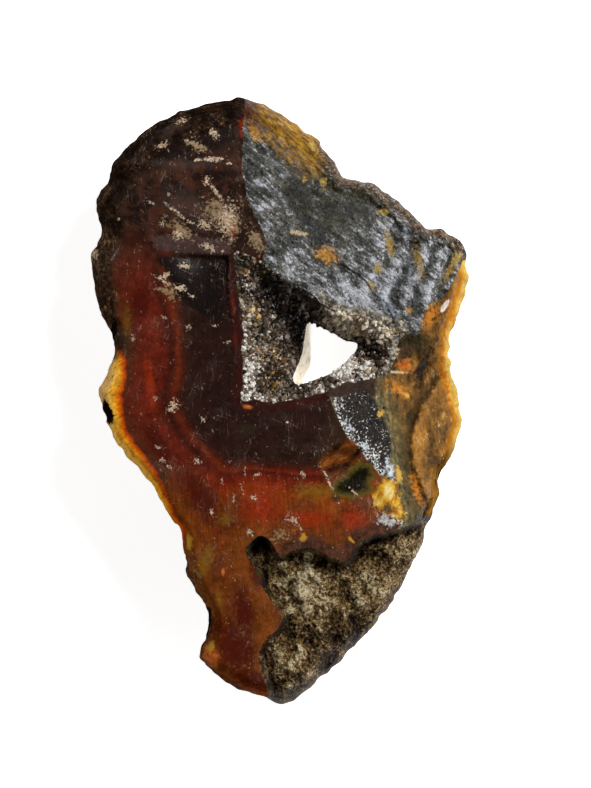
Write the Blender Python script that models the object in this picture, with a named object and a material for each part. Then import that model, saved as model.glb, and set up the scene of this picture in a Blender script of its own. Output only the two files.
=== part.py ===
"""Agate nodule: a broken agate with a crystal-lined hollow that opens right through it.

The stone lies on its back with the broken face up. +X is the right of the face, +Y its top, and +Z
points out of it. z = 0 is the surface that it rests on. Sizes are in millimetres until a mesh is
made, and the meshes are in metres.
"""

import math

import bmesh
import bpy
import numpy as np
from mathutils import Vector
from mathutils.geometry import delaunay_2d_cdt

MM = 0.001

# Driving sizes
FACE_HEIGHT = 20.5
FRONT_SPACING = 1.35
RIND_SPACING = 1.05
BACK_SPACING = 2.2
HOLLOW_SPACING = 1.1
CLEARANCE = 0.35
SHARP_ANGLE = 32

# The outline, clockwise from the top. Each stretch has the height of the stone's edge, the width
# over which the face rounds off to it, and its points. Heights and widths blend from one to the next.
RIM_BLEND = 9.0
LEAST_ROUNDING = 0.4
TOP_EDGE = (
    12.0,
    2.6,
    ((-6.9, 43.1), (-5.0, 43.2), (-3.8, 42.8), (-1.3, 41.8), (1.4, 40.0), (3.2, 38.7), (5.4, 37.3))
    + ((6.5, 35.5), (8.1, 33.5), (9.2, 32.0)),
)
SHOULDER_EDGE = (
    10.5,
    2.0,
    ((11.4, 31.5), (12.8, 31.2), (15.1, 29.8), (17.5, 27.8), (20.0, 25.6), (21.0, 24.7), (22.8, 24.6))
    + ((24.0, 24.2), (25.8, 22.8)),
)
FLANK_EDGE = (
    6.8,
    1.3,
    ((26.7, 21.0), (26.5, 19.2), (27.0, 17.5), (26.2, 15.0), (25.5, 12.8), (24.5, 9.9), (24.2, 7.0))
    + ((24.4, 4.2), (25.1, 1.6), (25.7, -1.2), (26.0, -3.2), (25.4, -5.5), (24.2, -8.4))
    + ((22.8, -11.0), (22.8, -13.4)),
)
RIND_RIM = (
    8.0,
    3.0,
    ((22.0, -15.5), (20.8, -18.4), (20.0, -21.2), (18.0, -25.1), (15.7, -29.1), (12.8, -32.8))
    + ((10.0, -35.4), (8.1, -37.5), (5.4, -39.8), (2.8, -42.2), (0.4, -43.2), (-2.6, -42.1)),
)
LOBE_EDGE = (
    12.0,
    2.0,
    ((-5.8, -41.1), (-8.9, -39.2), (-11.0, -37.2), (-11.5, -36.0), (-10.5, -33.5), (-10.0, -32.1))
    + ((-10.5, -29.7), (-12.2, -26.7), (-13.2, -24.4), (-13.8, -20.5), (-14.3, -18.0)),
)
THIN_EDGE = (
    15.0,
    1.3,
    ((-15.2, -17.1), (-17.2, -13.8), (-18.6, -11.4), (-21.3, -8.2), (-23.6, -5.5), (-24.5, -3.2))
    + ((-25.5, -0.4), (-25.8, 1.6), (-24.8, 3.5), (-23.7, 7.2), (-23.8, 9.0), (-25.0, 11.2)),
)
BLUNT_EDGE = (
    12.5,
    4.0,
    ((-26.2, 15.2), (-26.7, 18.0), (-27.0, 20.8), (-25.6, 23.9), (-26.1, 27.6), (-25.6, 29.9))
    + ((-24.4, 31.5), (-23.8, 33.8), (-22.3, 35.8), (-20.0, 37.9), (-17.2, 39.9), (-13.6, 41.5))
    + ((-9.8, 42.5),),
)
OUTLINE = (TOP_EDGE, SHOULDER_EDGE, FLANK_EDGE, RIND_RIM, LOBE_EDGE, THIN_EDGE, BLUNT_EDGE)

# The mouth of the hollow, clockwise from its upper left corner
MOUTH = (
    ((-6.6, 21.0), (-4.2, 20.8), (-2.6, 19.9), (0.0, 17.8), (1.7, 16.9), (3.5, 15.9), (5.4, 14.5))
    + ((7.8, 12.8), (11.4, 12.2), (14.2, 11.3), (17.1, 9.8), (16.0, 8.8), (15.1, 5.3), (14.2, 3.6))
    + ((11.7, 3.0), (8.5, 2.2), (6.8, 1.3), (4.2, 0.5), (0.0, 0.0), (-4.3, -0.1), (-5.8, 0.3))
    + ((-5.3, 3.0), (-5.5, 7.3), (-5.3, 9.5), (-5.6, 13.8), (-6.3, 17.3))
)

# The hole through the stone, clockwise. Each place has x, y and height at the lip, then x and y of
# the place below it where the wall meets the back. The wall widens towards the back, but on the left
# it leans in under the lip.
THROAT = (
    ((4.1, 11.3, 8.0, 4.7, 12.4), (6.4, 10.3, 8.5, 7.0, 12.6), (7.8, 9.6, 9.0, 9.4, 11.8))
    + ((9.2, 8.7, 9.0, 11.6, 10.6), (11.0, 8.2, 9.5, 13.6, 9.0), (10.4, 6.6, 10.0, 13.2, 6.3))
    + ((8.9, 5.2, 11.5, 11.3, 3.6), (7.1, 3.9, 13.0, 8.5, 1.3), (4.2, 2.8, 13.5, 4.2, 0.4))
    + ((2.8, 2.2, 12.0, 3.1, 1.3), (1.7, 3.2, 8.5, 3.3, 3.2), (2.3, 5.0, 6.0, 4.2, 5.0))
    + ((3.1, 7.0, 4.5, 4.35, 7.2), (3.5, 9.6, 5.5, 4.3, 9.9))
)
THROAT_LEVELS = (0.0, 0.3, 0.65, 1.0)
THROAT_CURVE = 0.7
WALL_CURVE = 1.5

# The dark face: how fast it falls away from its highest line
DOME_MIDDLE = -8.0
DOME_ACROSS = 0.0030
DOME_ALONG = 0.0012

# Creases of the face. Beyond each one the surface tilts down by its slope.
UPPER_CREASE = ((-27.0, 35.2), (-22.2, 35.2), (-17.2, 34.5), (-11.5, 33.9), (-5.3, 32.8))
UPPER_SLOPE = 0.36
GREY_CREASE = ((-5.0, 46.0), (-5.3, 35.9), (-5.4, 32.8), (-4.3, 28.0), (-2.2, 23.0), (-2.6, 19.9))
GREY_SLOPE = 0.28
SHOULDER_CREASE = ((6.8, 1.3), (5.4, -3.5), (5.1, -8.7), (6.4, -11.2), (7.1, -15.0), (8.5, -22.8))
SHOULDER_SLOPE = 0.22
CLIFF_CREASE = (
    ((6.8, 1.3), (7.8, -1.5), (9.8, -5.5), (11.4, -6.6), (12.8, -8.7), (14.4, -11.0))
    + ((15.4, -14.5), (17.2, -18.0))
)
CLIFF_SLOPE = 0.62
FLANK_CREASE = (
    ((20.7, 25.2), (21.4, 19.9), (21.4, 14.5), (19.7, 10.2), (17.1, 8.8), (15.4, 3.0), (14.8, 0.2))
    + ((16.0, -5.5), (16.8, -11.2), (18.5, -17.5))
)
FLANK_SLOPE = 0.72

# Where the grey plane and the cliff blend past the hollow's right end
BLEND_HEIGHT = 8.4
BLEND_REACH = 5.0

# A shallow scar under a small ledge in the dark face
LEDGE = ((-18.2, 21.5), (-12.9, 20.9), (-7.4, 20.7))
SCAR_FOOT = ((-7.4, 10.9), (-11.5, 11.6), (-15.0, 14.5), (-18.2, 19.9))
SCAR_DEPTH = 1.0
SCAR_FADE = 8.0
LEDGE_WIDTH = 0.5

# Lumps are given by height, size and seed
WANDER_LUMPS = (0.4, 4.0, 3)
GREY_LUMPS = (0.35, 2.8, 4)
RIND_LUMPS = ((0.8, 2.8, 1), (0.48, 1.6, 2))
BACK_LUMPS = ((1.5, 9.0, 5), (0.75, 4.5, 6))

# Upright flutes where the grey plane nears the flank, and ribs that run down the flank
FLUTE_MIDDLE = (19.0, 17.5)
FLUTE_REACH = 7.0
FLUTE_DEPTH = 0.5
FLUTE_WIDTH = 3.1
FLUTE_LEAN = 0.3
FLUTE_START = 9.8
RIB_DEPTH = 0.3
RIB_WIDTH = 2.7
RIB_LEAN = 0.5
RELIEF_FADE = 2.0

# Where the face breaks away over the rough rind, from the bottom tip up and round to the right
RIND_BREAK = (
    ((-1.5, -46.0), (-1.8, -41.2), (-3.0, -37.0), (-2.5, -34.5), (0.3, -31.2), (-1.9, -27.5))
    + ((-3.8, -23.7), (-4.8, -21.0), (-3.0, -19.1), (-1.4, -19.8), (0.0, -21.8), (2.1, -21.0))
    + ((4.7, -20.8), (7.1, -22.1), (9.6, -22.7), (10.6, -20.9), (12.2, -19.4), (15.4, -18.5))
    + ((18.5, -17.5), (22.6, -15.6))
)
RIND_HEIGHT = 14.4
RIND_MIDDLE = 3.0
RIND_FALL = 0.18
RIND_STEP = 0.9
RIND_DROP = 1.0
# Each mound of the rind: its middle, radius and height
RIND_MOUNDS = (
    (3.5, -27.0, 6.0, 2.4),
    (1.4, -36.4, 4.2, 1.9),
    (12.8, -26.4, 3.2, 1.2),
    (17.5, -20.8, 2.6, 0.9),
)

# The underside: a shallow bowl round the flat that the stone rests on. It turns up to the stone's
# edge, like a wedge where the edge is thin and like a pebble where it is blunt.
REST_CENTRE = (-4.5, 1.0)
BOWL_LIFT = 6.0
BOWL_RADIUS = 28.0
REST_CUT = 0.6
REST_SMOOTH = 18.0
BACK_ROUND = 17.0
WEDGE_WIDTH = 1.3
WEDGE_CURVE = 1.7
BLUNT_WIDTH = 4.0
BLUNT_CURVE = 0.6

# The crust of crystals
CRUST_THICKNESS = 1.5
CRUST_TAPER = 2.2
CRUST_INSET = 0.75
THROAT_INSET = 0.8
SEAT_EDGE = 0.1
SEAT_SPACING = 1.6
SEAT_ROW = 0.35
CRYSTAL_SPACING = 0.76
CRYSTAL_HEIGHT = 0.8
CRYSTAL_VARIETY = (0.55, 1.25)
STEEPEST = 2.6
SLOPE_REACH = 0.5

# Rows of points inside the outline, and how close a free point may come to a line of points
FRONT_ROWS = (0.45, 1.3)
BACK_ROWS = (0.6, 1.9)
KEEP_CLEAR = 0.66
JITTER = 0.12

# Beyond every edge of the stone
FAR = 90.0


# Curves and fields
def spline(points, step, closed):
    """Points about `step` apart on a smooth curve through the given points, x and y first."""
    points = np.array(points, float)
    count = len(points)
    share = np.linspace(0, 1, 8, endpoint=False)[:, None]
    runs = []
    for i in range(count if closed else count - 1):
        if closed:
            a, b, c, d = (points[(i + k) % count] for k in (-1, 0, 1, 2))
        else:
            a, b, c, d = (points[min(max(i + k, 0), count - 1)] for k in (-1, 0, 1, 2))
        bend = share**2 * (a - 2.5 * b + 2 * c - 0.5 * d) + share**3 * (1.5 * (b - c) + 0.5 * (d - a))
        runs.append(b + 0.5 * share * (c - a) + bend)
    curve = np.concatenate([*runs, points[:1] if closed else points[-1:]])
    length = np.concatenate([[0], np.cumsum(np.hypot(*np.diff(curve[:, :2], axis=0).T))])
    places = np.linspace(0, length[-1], max(3, round(length[-1] / step)) + 1)
    resampled = np.stack([np.interp(places, length, column) for column in curve.T], axis=1)
    return resampled[:-1] if closed else resampled


def ring(loop):
    """A closed loop as a line that ends where it starts."""
    return np.concatenate([loop, loop[:1]])


def nearest(line, xy):
    """The distance from each point to a line, and the nearest place on it."""
    line = np.array(line, float)
    best = np.full(len(xy), np.inf)
    places = np.zeros((len(xy), line.shape[1]))
    for start, end in zip(line[:-1], line[1:]):
        along = end[:2] - start[:2]
        share = np.clip((xy - start[:2]) @ along / (along @ along), 0, 1)[:, None]
        place = start + share * (end - start)
        distance = np.hypot(*(xy - place[:, :2]).T)
        closer = distance < best
        best[closer] = distance[closer]
        places[closer] = place[closer]
    return best, places


def inside(polygon, xy):
    """Which points lie inside a polygon."""
    polygon = np.array(polygon, float)[:, :2]
    x, y = xy.T
    crossings = np.zeros(len(xy), int)
    for (x0, y0), (x1, y1) in zip(polygon, np.roll(polygon, -1, axis=0)):
        spans = (y0 > y) != (y1 > y)
        crossings += spans & (x < x0 + (y - y0) * (x1 - x0) / (y1 - y0 + (y1 == y0)))
    return crossings % 2 == 1


def smooth(share):
    """An ease from 0 to 1."""
    share = np.clip(share, 0, 1)
    return share * share * (3 - 2 * share)


def lumps(xy, height, size, seed):
    """Smooth lumps about `size` across, up to `height` up or down."""
    grid = 64
    heights = np.random.default_rng(seed).uniform(-height, height, (grid, grid))
    cell = np.floor(xy / size).astype(int)
    across, up = smooth(xy / size - cell).T
    x, y = cell.T % grid
    right, above = (x + 1) % grid, (y + 1) % grid
    low = heights[x, y] * (1 - across) + heights[right, y] * across
    high = heights[x, above] * (1 - across) + heights[right, above] * across
    return low * (1 - up) + high * up


def mound(xy, middle_x, middle_y, radius, height):
    """A round mound that falls off smoothly."""
    return height * np.exp(-((xy[:, 0] - middle_x) ** 2 + (xy[:, 1] - middle_y) ** 2) / radius**2)


def rim_curve(step):
    """The outline as one clockwise loop: x, y, edge height and edge width."""
    points = [(x, y, height, width) for height, width, stretch in OUTLINE for x, y in stretch]
    curve = spline(points, step, True)
    reach = round(RIM_BLEND / step)
    weights = np.ones(2 * reach + 1) / (2 * reach + 1)
    for column in (2, 3):
        wrapped = np.concatenate([curve[-reach:, column], curve[:, column], curve[:reach, column]])
        curve[:, column] = np.convolve(wrapped, weights, "valid")
    return curve


RIM = rim_curve(FRONT_SPACING)
THROAT_LOOP = spline(THROAT, HOLLOW_SPACING, True)
MOUTH_LOOP = spline(MOUTH, HOLLOW_SPACING, True)

UPPER_REGION = (*UPPER_CREASE, (FAR, 32.8), (FAR, FAR), (-FAR, FAR), (-FAR, 35.2))
GREY_REGION = (*GREY_CREASE, (5.5, 4.0), (FAR, 4.0), (FAR, FAR), (-5.0, FAR))
SHOULDER_REGION = (*SHOULDER_CREASE, (8.5, -FAR), (FAR, -FAR), (FAR, 14.0), (6.8, 14.0))
CLIFF_REGION = (*CLIFF_CREASE, (FAR, -18.0), (FAR, 14.0), (6.8, 14.0))
FLANK_REGION = (*FLANK_CREASE, (FAR, -17.5), (FAR, FAR), (20.7, FAR))
RIND_REGION = (*RIND_BREAK, (FAR, -15.6), (FAR, -FAR), (-1.5, -FAR))
SCAR_REGION = (*LEDGE, *SCAR_FOOT)


# The broken face, one form after the other
def dome(xy):
    """The dark face: almost flat, and lowest towards its edges."""
    x, y = xy.T
    return FACE_HEIGHT - DOME_ACROSS * (x - DOME_MIDDLE) ** 2 - DOME_ALONG * y**2


def folded(surface, crease, region, slope):
    """A surface that tilts down beyond a crease, and meets itself there."""

    def height(xy):
        z = surface(xy)
        beyond = inside(region, xy)
        distance, foot = nearest(crease, xy[beyond])
        z[beyond] = surface(foot) - slope * distance
        return z

    return height


upper = folded(dome, UPPER_CREASE, UPPER_REGION, UPPER_SLOPE)


def scarred(xy):
    """The dark face with its ledge, and the scar that dies out below the ledge and to the left."""
    z = upper(xy)
    within = inside(SCAR_REGION, xy)
    from_ledge = nearest(LEDGE, xy[within])[0]
    to_foot = nearest(SCAR_FOOT, xy[within])[0]
    step = smooth(from_ledge / LEDGE_WIDTH) * smooth((xy[within, 0] - LEDGE[0][0]) / SCAR_FADE)
    z[within] -= SCAR_DEPTH * step * to_foot / (from_ledge + to_foot)
    return z


shouldered = folded(scarred, SHOULDER_CREASE, SHOULDER_REGION, SHOULDER_SLOPE)
cliffed = folded(shouldered, CLIFF_CREASE, CLIFF_REGION, CLIFF_SLOPE)
greyed = folded(scarred, GREY_CREASE, GREY_REGION, GREY_SLOPE)


def joined(xy):
    """The grey plane above the hollow and the cliff below it, blended past the hollow's right end."""
    share = smooth((xy[:, 1] - BLEND_HEIGHT) / BLEND_REACH + 0.5)
    return cliffed(xy) * (1 - share) + greyed(xy) * share


flanked = folded(joined, FLANK_CREASE, FLANK_REGION, FLANK_SLOPE)


def relief(xy):
    """Flutes and lumps of the grey plane, and the ribs of the flank."""
    x, y = xy.T
    wander = lumps(xy, *WANDER_LUMPS)
    strength = mound(xy, *FLUTE_MIDDLE, FLUTE_REACH, FLUTE_DEPTH)
    z = strength * np.sin(2 * math.pi * (x - FLUTE_LEAN * y - FLUTE_START + wander) / FLUTE_WIDTH)
    from_grey = nearest(GREY_CREASE, xy)[0]
    z += inside(GREY_REGION, xy) * smooth(from_grey / RELIEF_FADE) * lumps(xy, *GREY_LUMPS)
    from_flank = nearest(FLANK_CREASE, xy)[0]
    ribs = np.sin(2 * math.pi * (y - RIB_LEAN * x + 2 * wander) / RIB_WIDTH)
    return z + RIB_DEPTH * inside(FLANK_REGION, xy) * smooth(from_flank / RELIEF_FADE) * ribs


def rind(xy):
    """The rough rind: lumpy, with mounds and a valley between the two largest."""
    z = RIND_HEIGHT - RIND_FALL * (xy[:, 0] - RIND_MIDDLE)
    for place in RIND_MOUNDS:
        z += mound(xy, *place)
    for kind in RIND_LUMPS:
        z += lumps(xy, *kind)
    return z


def face(xy):
    """The whole front without the hollow and the rounded edge."""
    z = flanked(xy) + relief(xy)
    rough = inside(RIND_REGION, xy)
    step = smooth(nearest(RIND_BREAK, xy[rough])[0] / RIND_STEP)
    z[rough] += (np.minimum(rind(xy[rough]), z[rough] - RIND_DROP) - z[rough]) * step
    return z


MOUTH_RIM = ring(np.column_stack([MOUTH_LOOP, face(MOUTH_LOOP)]))


def hollow(xy):
    """The wall of the hollow from the mouth to the throat, before any crystal stands on it."""
    from_mouth, mouth = nearest(MOUTH_RIM, xy)
    from_throat, lip = nearest(ring(THROAT_LOOP), xy)
    share = from_mouth / (from_mouth + from_throat + 1e-9)
    return mouth[:, 2] + (lip[:, 2] - mouth[:, 2]) * (1 - (1 - share) ** WALL_CURVE)


def hollow_slopes(xy):
    """The wall's slopes along x and y, held to the steepest that a crystal needs."""
    slopes = []
    for step in ((SLOPE_REACH, 0), (0, SLOPE_REACH)):
        rise = hollow(xy + step) - hollow(xy - np.array(step))
        slopes.append(np.clip(rise / (2 * SLOPE_REACH), -STEEPEST, STEEPEST))
    return slopes


def stretch(xy):
    """How much longer the wall's upright thickness is than its true one."""
    along_x, along_y = hollow_slopes(xy)
    return np.sqrt(1 + along_x**2 + along_y**2)


def seat_depth(xy):
    """The depth of the seat that the crust lies in, thinning out at the throat."""
    return CRUST_THICKNESS * np.clip(nearest(ring(THROAT_LOOP), xy)[0] / CRUST_TAPER, 0, 1)


def front(xy):
    """The top surface of the stone."""
    distance, rim = nearest(ring(RIM), xy)
    share = np.clip(distance / rim[:, 3], 0, 1)
    above_rim = np.maximum(face(xy) - rim[:, 2], LEAST_ROUNDING)
    z = rim[:, 2] + above_rim * np.sqrt(1 - (1 - share) ** 2)
    seat = inside(MOUTH_LOOP, xy) & (nearest(MOUTH_RIM, xy)[0] > SEAT_EDGE)
    z[seat] = hollow(xy[seat]) - seat_depth(xy[seat]) * stretch(xy[seat])
    return on_the_edges(xy, z)


def on_the_edges(xy, z):
    """The heights, with the points on the rim and on the lip of the throat set to exactly those."""
    for edge in (RIM, THROAT_LOOP):
        distance, place = nearest(ring(edge), xy)
        z = np.where(distance < 1e-3, place[:, 2], z)
    return z


def back(xy):
    """The underside: a shallow lumpy bowl, cut flat where it rests, that turns up to the edge."""
    distance, rim = nearest(ring(RIM), xy)
    from_rest = (xy[:, 0] - REST_CENTRE[0]) ** 2 + (xy[:, 1] - REST_CENTRE[1]) ** 2
    bowl = BOWL_LIFT * (1 - np.exp(-from_rest / BOWL_RADIUS**2)) - REST_CUT
    for kind in BACK_LUMPS:
        bowl += smooth(from_rest / REST_SMOOTH**2) * lumps(xy, *kind)
    share = np.clip(distance / BACK_ROUND, 0, 1)
    blunt = smooth((rim[:, 3] - WEDGE_WIDTH) / (BLUNT_WIDTH - WEDGE_WIDTH))
    like_wedge = (1 - share) ** WEDGE_CURVE
    like_pebble = 1 - (1 - (1 - share) ** 2) ** BLUNT_CURVE
    turn = like_wedge * (1 - blunt) + like_pebble * blunt
    return np.maximum(bowl + (rim[:, 2] - bowl) * turn, 0)


# Meshes
def right_of(line):
    """The unit normal on the right of each point of an open line."""
    along = np.gradient(line[:, :2], axis=0)
    along /= np.hypot(*along.T)[:, None]
    return np.stack([along[:, 1], -along[:, 0]], axis=1)


def row_inside(loop, inset):
    """The points of a clockwise loop moved in by this much, or out where it is negative."""
    along = np.roll(loop[:, :2], -1, axis=0) - np.roll(loop[:, :2], 1, axis=0)
    along /= np.hypot(*along.T)[:, None]
    row = loop[:, :2] + inset * np.stack([along[:, 1], -along[:, 0]], axis=1)
    return row[nearest(ring(loop), row)[0] > 0.9 * abs(inset)]


def lattice(spacing, jitter, seed):
    """Equal triangles over the whole stone, each point moved a little, and which points stand alone
    among six others of the lattice."""
    columns = np.arange(round(60 / spacing))
    rows = np.arange(round(92 / (spacing * math.sqrt(0.75))))
    column, row = (grid.ravel() for grid in np.meshgrid(columns, rows))
    x = -30 + spacing * (column + 0.5 * (row % 2))
    y = -46 + spacing * math.sqrt(0.75) * row
    moves = np.random.default_rng(seed).uniform(-jitter, jitter, (len(x), 2)) * spacing
    return np.stack([x, y], axis=1) + moves, (column - row // 2 - row) % 3 == 0


def clear_of(points, lines, distance):
    """Which points keep this distance from every line."""
    keep = np.ones(len(points), bool)
    for line in lines:
        keep &= nearest(line, points)[0] > distance
    return keep


def between(outer, hole, points):
    """Which points lie inside one loop and outside another."""
    return inside(outer, points) & ~inside(hole, points)


def triangulate(outer, hole, creases, fill):
    """Triangles between two loops that follow the creases, and the points that they join."""
    points = []
    edges = []
    for line in (ring(outer), ring(hole), *creases):
        first = len(points)
        points += [Vector((x, y)) for x, y in line[:, :2]]
        edges += [(first + i, first + i + 1) for i in range(len(line) - 1)]
    points += [Vector((x, y)) for x, y in fill]
    made = delaunay_2d_cdt(points, edges, [], 0, 1e-4)
    xy = np.array([tuple(point) for point in made[0]])
    triangles = np.array(made[2])
    return xy, triangles[between(outer, hole, xy[triangles].mean(axis=1))]


def face_creases():
    """The creases that the face's triangles follow, each kept off the lines that it would meet."""
    mouth = ring(MOUTH_LOOP)
    rim = ring(RIM)
    rind_break = spline(RIND_BREAK, FRONT_SPACING, False)
    grey = spline(GREY_CREASE, FRONT_SPACING, False)
    flank = spline(FLANK_CREASE, FRONT_SPACING, False)
    off_rim = FRONT_ROWS[-1] + 0.5 * FRONT_SPACING
    off_lines = 0.45 * FRONT_SPACING
    creases = []
    for crease, others in (
        (rind_break, []),
        (grey, [mouth]),
        (flank, [mouth, rind_break]),
        (spline(UPPER_CREASE, FRONT_SPACING, False), [grey]),
        (spline(CLIFF_CREASE, FRONT_SPACING, False), [mouth, rind_break, flank]),
        (spline(LEDGE, FRONT_SPACING, False), [mouth]),
    ):
        keep = inside(RIM, crease) & clear_of(crease, [rim], off_rim)
        creases.append(crease[keep & clear_of(crease, others, off_lines)])
    return creases


def crust_loops():
    """The outer and the inner edge of the crust."""
    return row_inside(MOUTH_LOOP, CRUST_INSET), row_inside(THROAT_LOOP, -THROAT_INSET)


def crust_fill():
    """Points of the crust's underside, which its seat shares so that the two never cross."""
    outer, inner = crust_loops()
    fill = lattice(SEAT_SPACING, JITTER, 11)[0]
    fill = fill[between(outer, inner, fill)]
    return fill[clear_of(fill, [ring(outer), ring(inner)], 0.45 * SEAT_SPACING)]


def front_sheet():
    """The face and the seat of the crust, down to the lip of the throat."""
    creases = face_creases()
    mouth = ring(MOUTH_LOOP)
    rows = [ring(row_inside(RIM, inset)) for inset in FRONT_ROWS]
    foot = creases[0] + RIND_STEP * right_of(creases[0])
    foot = foot[clear_of(foot, [creases[0]], 0.9 * RIND_STEP) & clear_of(foot, rows, 0.5 * RIND_STEP)]
    lines = [*creases, mouth]
    fill = [foot, row_inside(MOUTH_LOOP, SEAT_ROW), *crust_loops(), crust_fill()]
    for spacing, rough in ((FRONT_SPACING, False), (RIND_SPACING, True)):
        points = lattice(spacing, JITTER, 7)[0]
        points = points[between(rows[-1], MOUTH_LOOP, points) & (inside(RIND_REGION, points) == rough)]
        fill.append(points[clear_of(points, [*lines, foot, *rows], KEEP_CLEAR * spacing)])
    xy, triangles = triangulate(RIM, THROAT_LOOP, [*lines, *rows], np.concatenate(fill))
    return np.column_stack([xy, front(xy)]), triangles


def throat_rings():
    """Rings from the lip of the throat down to the opening in the back."""
    lip_xy, lip_z, foot_xy = THROAT_LOOP[:, :2], THROAT_LOOP[:, 2], THROAT_LOOP[:, 3:]
    foot_z = back(foot_xy)
    rings = []
    for share in THROAT_LEVELS:
        xy = lip_xy + (foot_xy - lip_xy) * share**THROAT_CURVE
        rings.append(np.column_stack([xy, lip_z + (foot_z - lip_z) * share]))
    return rings


def back_sheet(opening):
    """The underside, round the opening of the hole."""
    rows = [ring(row_inside(RIM, inset)) for inset in BACK_ROWS]
    fill = lattice(BACK_SPACING, JITTER, 8)[0]
    fill = fill[between(rows[-1], opening, fill)]
    fill = fill[clear_of(fill, [ring(opening), *rows], 0.6 * BACK_SPACING)]
    xy, triangles = triangulate(RIM, opening, rows, fill)
    z = on_the_edges(xy, back(xy))
    distance, place = nearest(ring(opening), xy)
    return np.column_stack([xy, np.where(distance < 1e-3, place[:, 2], z)]), triangles[:, ::-1]


def strip(rings, outward):
    """Rings of equal counts, top first, joined into a wall that faces out of the loop or into it."""
    count = len(rings[0])
    triangles = []
    for level in range(len(rings) - 1):
        for i in range(count):
            a = level * count + i
            b = level * count + (i + 1) % count
            triangles += [(a, b, a + count), (b, b + count, a + count)]
    triangles = np.array(triangles)
    return np.concatenate(rings), triangles if outward else triangles[:, ::-1]


def make_object(name, sheets, material):
    """One object from sheets of points and triangles that meet at shared points."""
    mesh = bpy.data.meshes.new(name)
    build = bmesh.new()
    for points, triangles in sheets:
        corners = [build.verts.new(point * MM) for point in points]
        for triangle in triangles:
            build.faces.new([corners[i] for i in triangle])
    bmesh.ops.remove_doubles(build, verts=build.verts, dist=0.00001)
    loose = [vert for vert in build.verts if not vert.link_faces]
    bmesh.ops.delete(build, geom=loose, context="VERTS")
    build.to_mesh(mesh)
    build.free()
    mesh.materials.append(material)
    made = bpy.data.objects.new(name, mesh)
    bpy.context.scene.collection.objects.link(made)
    return made


def finish(name, colour, roughness):
    """A plain material of one linear colour."""
    material = bpy.data.materials.new(name)
    material.use_nodes = True
    shader = material.node_tree.nodes["Principled BSDF"]
    shader.inputs["Base Color"].default_value = (*colour, 1.0)
    shader.inputs["Roughness"].default_value = roughness
    shader.inputs["Metallic"].default_value = 0.0
    return material


# The two pieces
def agate_nodule():
    """The stone, in one piece from the broken face to the back."""
    rings = throat_rings()
    sheets = [front_sheet(), back_sheet(rings[-1]), strip(rings, outward=False)]
    stone = make_object("agate_nodule", sheets, finish("dark_agate", (0.045, 0.018, 0.012), 0.25))
    stone.data.shade_smooth()
    stone.data.set_sharp_from_angle(angle=math.radians(SHARP_ANGLE))


def crust_underside(xy):
    """The underside of the crust, clear of its seat."""
    return hollow(xy) - (seat_depth(xy) - CLEARANCE) * stretch(xy)


def druse_lining():
    """Six-sided crystals, packed side by side, over an underside that follows the seat."""
    outer, inner = crust_loops()
    fill, alone = lattice(CRYSTAL_SPACING, JITTER, 9)
    keep = between(outer, inner, fill) & clear_of(fill, [ring(outer), ring(inner)], 0.5 * CRYSTAL_SPACING)
    tips = fill[keep & alone]
    xy, triangles = triangulate(outer, inner, [], fill[keep])
    points = np.column_stack([xy, hollow(xy)])
    along_x, along_y = hollow_slopes(xy)
    normals = np.column_stack([-along_x, -along_y, np.ones(len(xy))]) / stretch(xy)[:, None]
    heights = CRYSTAL_HEIGHT * np.random.default_rng(10).uniform(*CRYSTAL_VARIETY, len(xy))
    is_tip = np.abs(xy[:, None] - tips[None]).sum(axis=2).min(axis=1) < 1e-3
    points += normals * (heights * is_tip)[:, None]

    under_xy, under_triangles = triangulate(outer, inner, [], crust_fill())
    under = np.column_stack([under_xy, crust_underside(under_xy)])

    sheets = [(points, triangles), (under, under_triangles[:, ::-1])]
    for loop, outward in ((outer, True), (inner, False)):
        top = np.column_stack([loop, hollow(loop)])
        bottom = np.column_stack([loop, crust_underside(loop)])
        sheets.append(strip([top, bottom], outward))
    make_object("druse_lining", sheets, finish("grey_druse", (0.16, 0.13, 0.10), 0.35))


for thing in list(bpy.data.objects):
    bpy.data.objects.remove(thing, do_unlink=True)
agate_nodule()
druse_lining()
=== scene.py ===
"""Looks of the agate nodule: a broken agate with a crystal-lined hollow that opens right through it.

The stone lies on its back with the broken face up. +X is the right of the face, +Y its top, and +Z
points out of it. Lengths are in millimetres until a mesh, a light or the camera is made.
"""

import logging
import math
from collections.abc import Callable, Iterable, Sequence
from dataclasses import dataclass, field
from enum import Enum, IntEnum
from functools import cached_property

import bpy
import numpy as np
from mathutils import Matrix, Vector
from mathutils.geometry import delaunay_2d_cdt
from mathutils.kdtree import KDTree


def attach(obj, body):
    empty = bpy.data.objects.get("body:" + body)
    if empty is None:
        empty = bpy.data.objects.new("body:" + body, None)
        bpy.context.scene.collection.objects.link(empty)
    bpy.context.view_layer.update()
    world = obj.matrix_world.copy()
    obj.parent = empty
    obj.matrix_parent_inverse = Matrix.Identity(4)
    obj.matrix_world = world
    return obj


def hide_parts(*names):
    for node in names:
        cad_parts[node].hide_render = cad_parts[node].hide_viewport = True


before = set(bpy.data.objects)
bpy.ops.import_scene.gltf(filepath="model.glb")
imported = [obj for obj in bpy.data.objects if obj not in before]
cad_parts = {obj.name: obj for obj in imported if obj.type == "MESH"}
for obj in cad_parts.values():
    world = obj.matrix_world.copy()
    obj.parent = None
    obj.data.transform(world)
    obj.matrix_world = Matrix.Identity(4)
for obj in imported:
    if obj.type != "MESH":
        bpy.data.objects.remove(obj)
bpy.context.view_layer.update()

MM = 0.001
# Past every part of the stone
FAR = 90.0
# The field that the stone lies in the middle of
FIELD_WIDTH = 60
FIELD_HEIGHT = 92
# How far apart the rows of a lattice of equal triangles are, in its spacings
ROW_RATIO = math.sqrt(0.75)
# How many points a smooth curve has from one of its knots to the next before it is resampled
CURVE_STEPS = 8
# How many lumps there are each way before they come again
LUMP_GRID = 64
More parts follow.
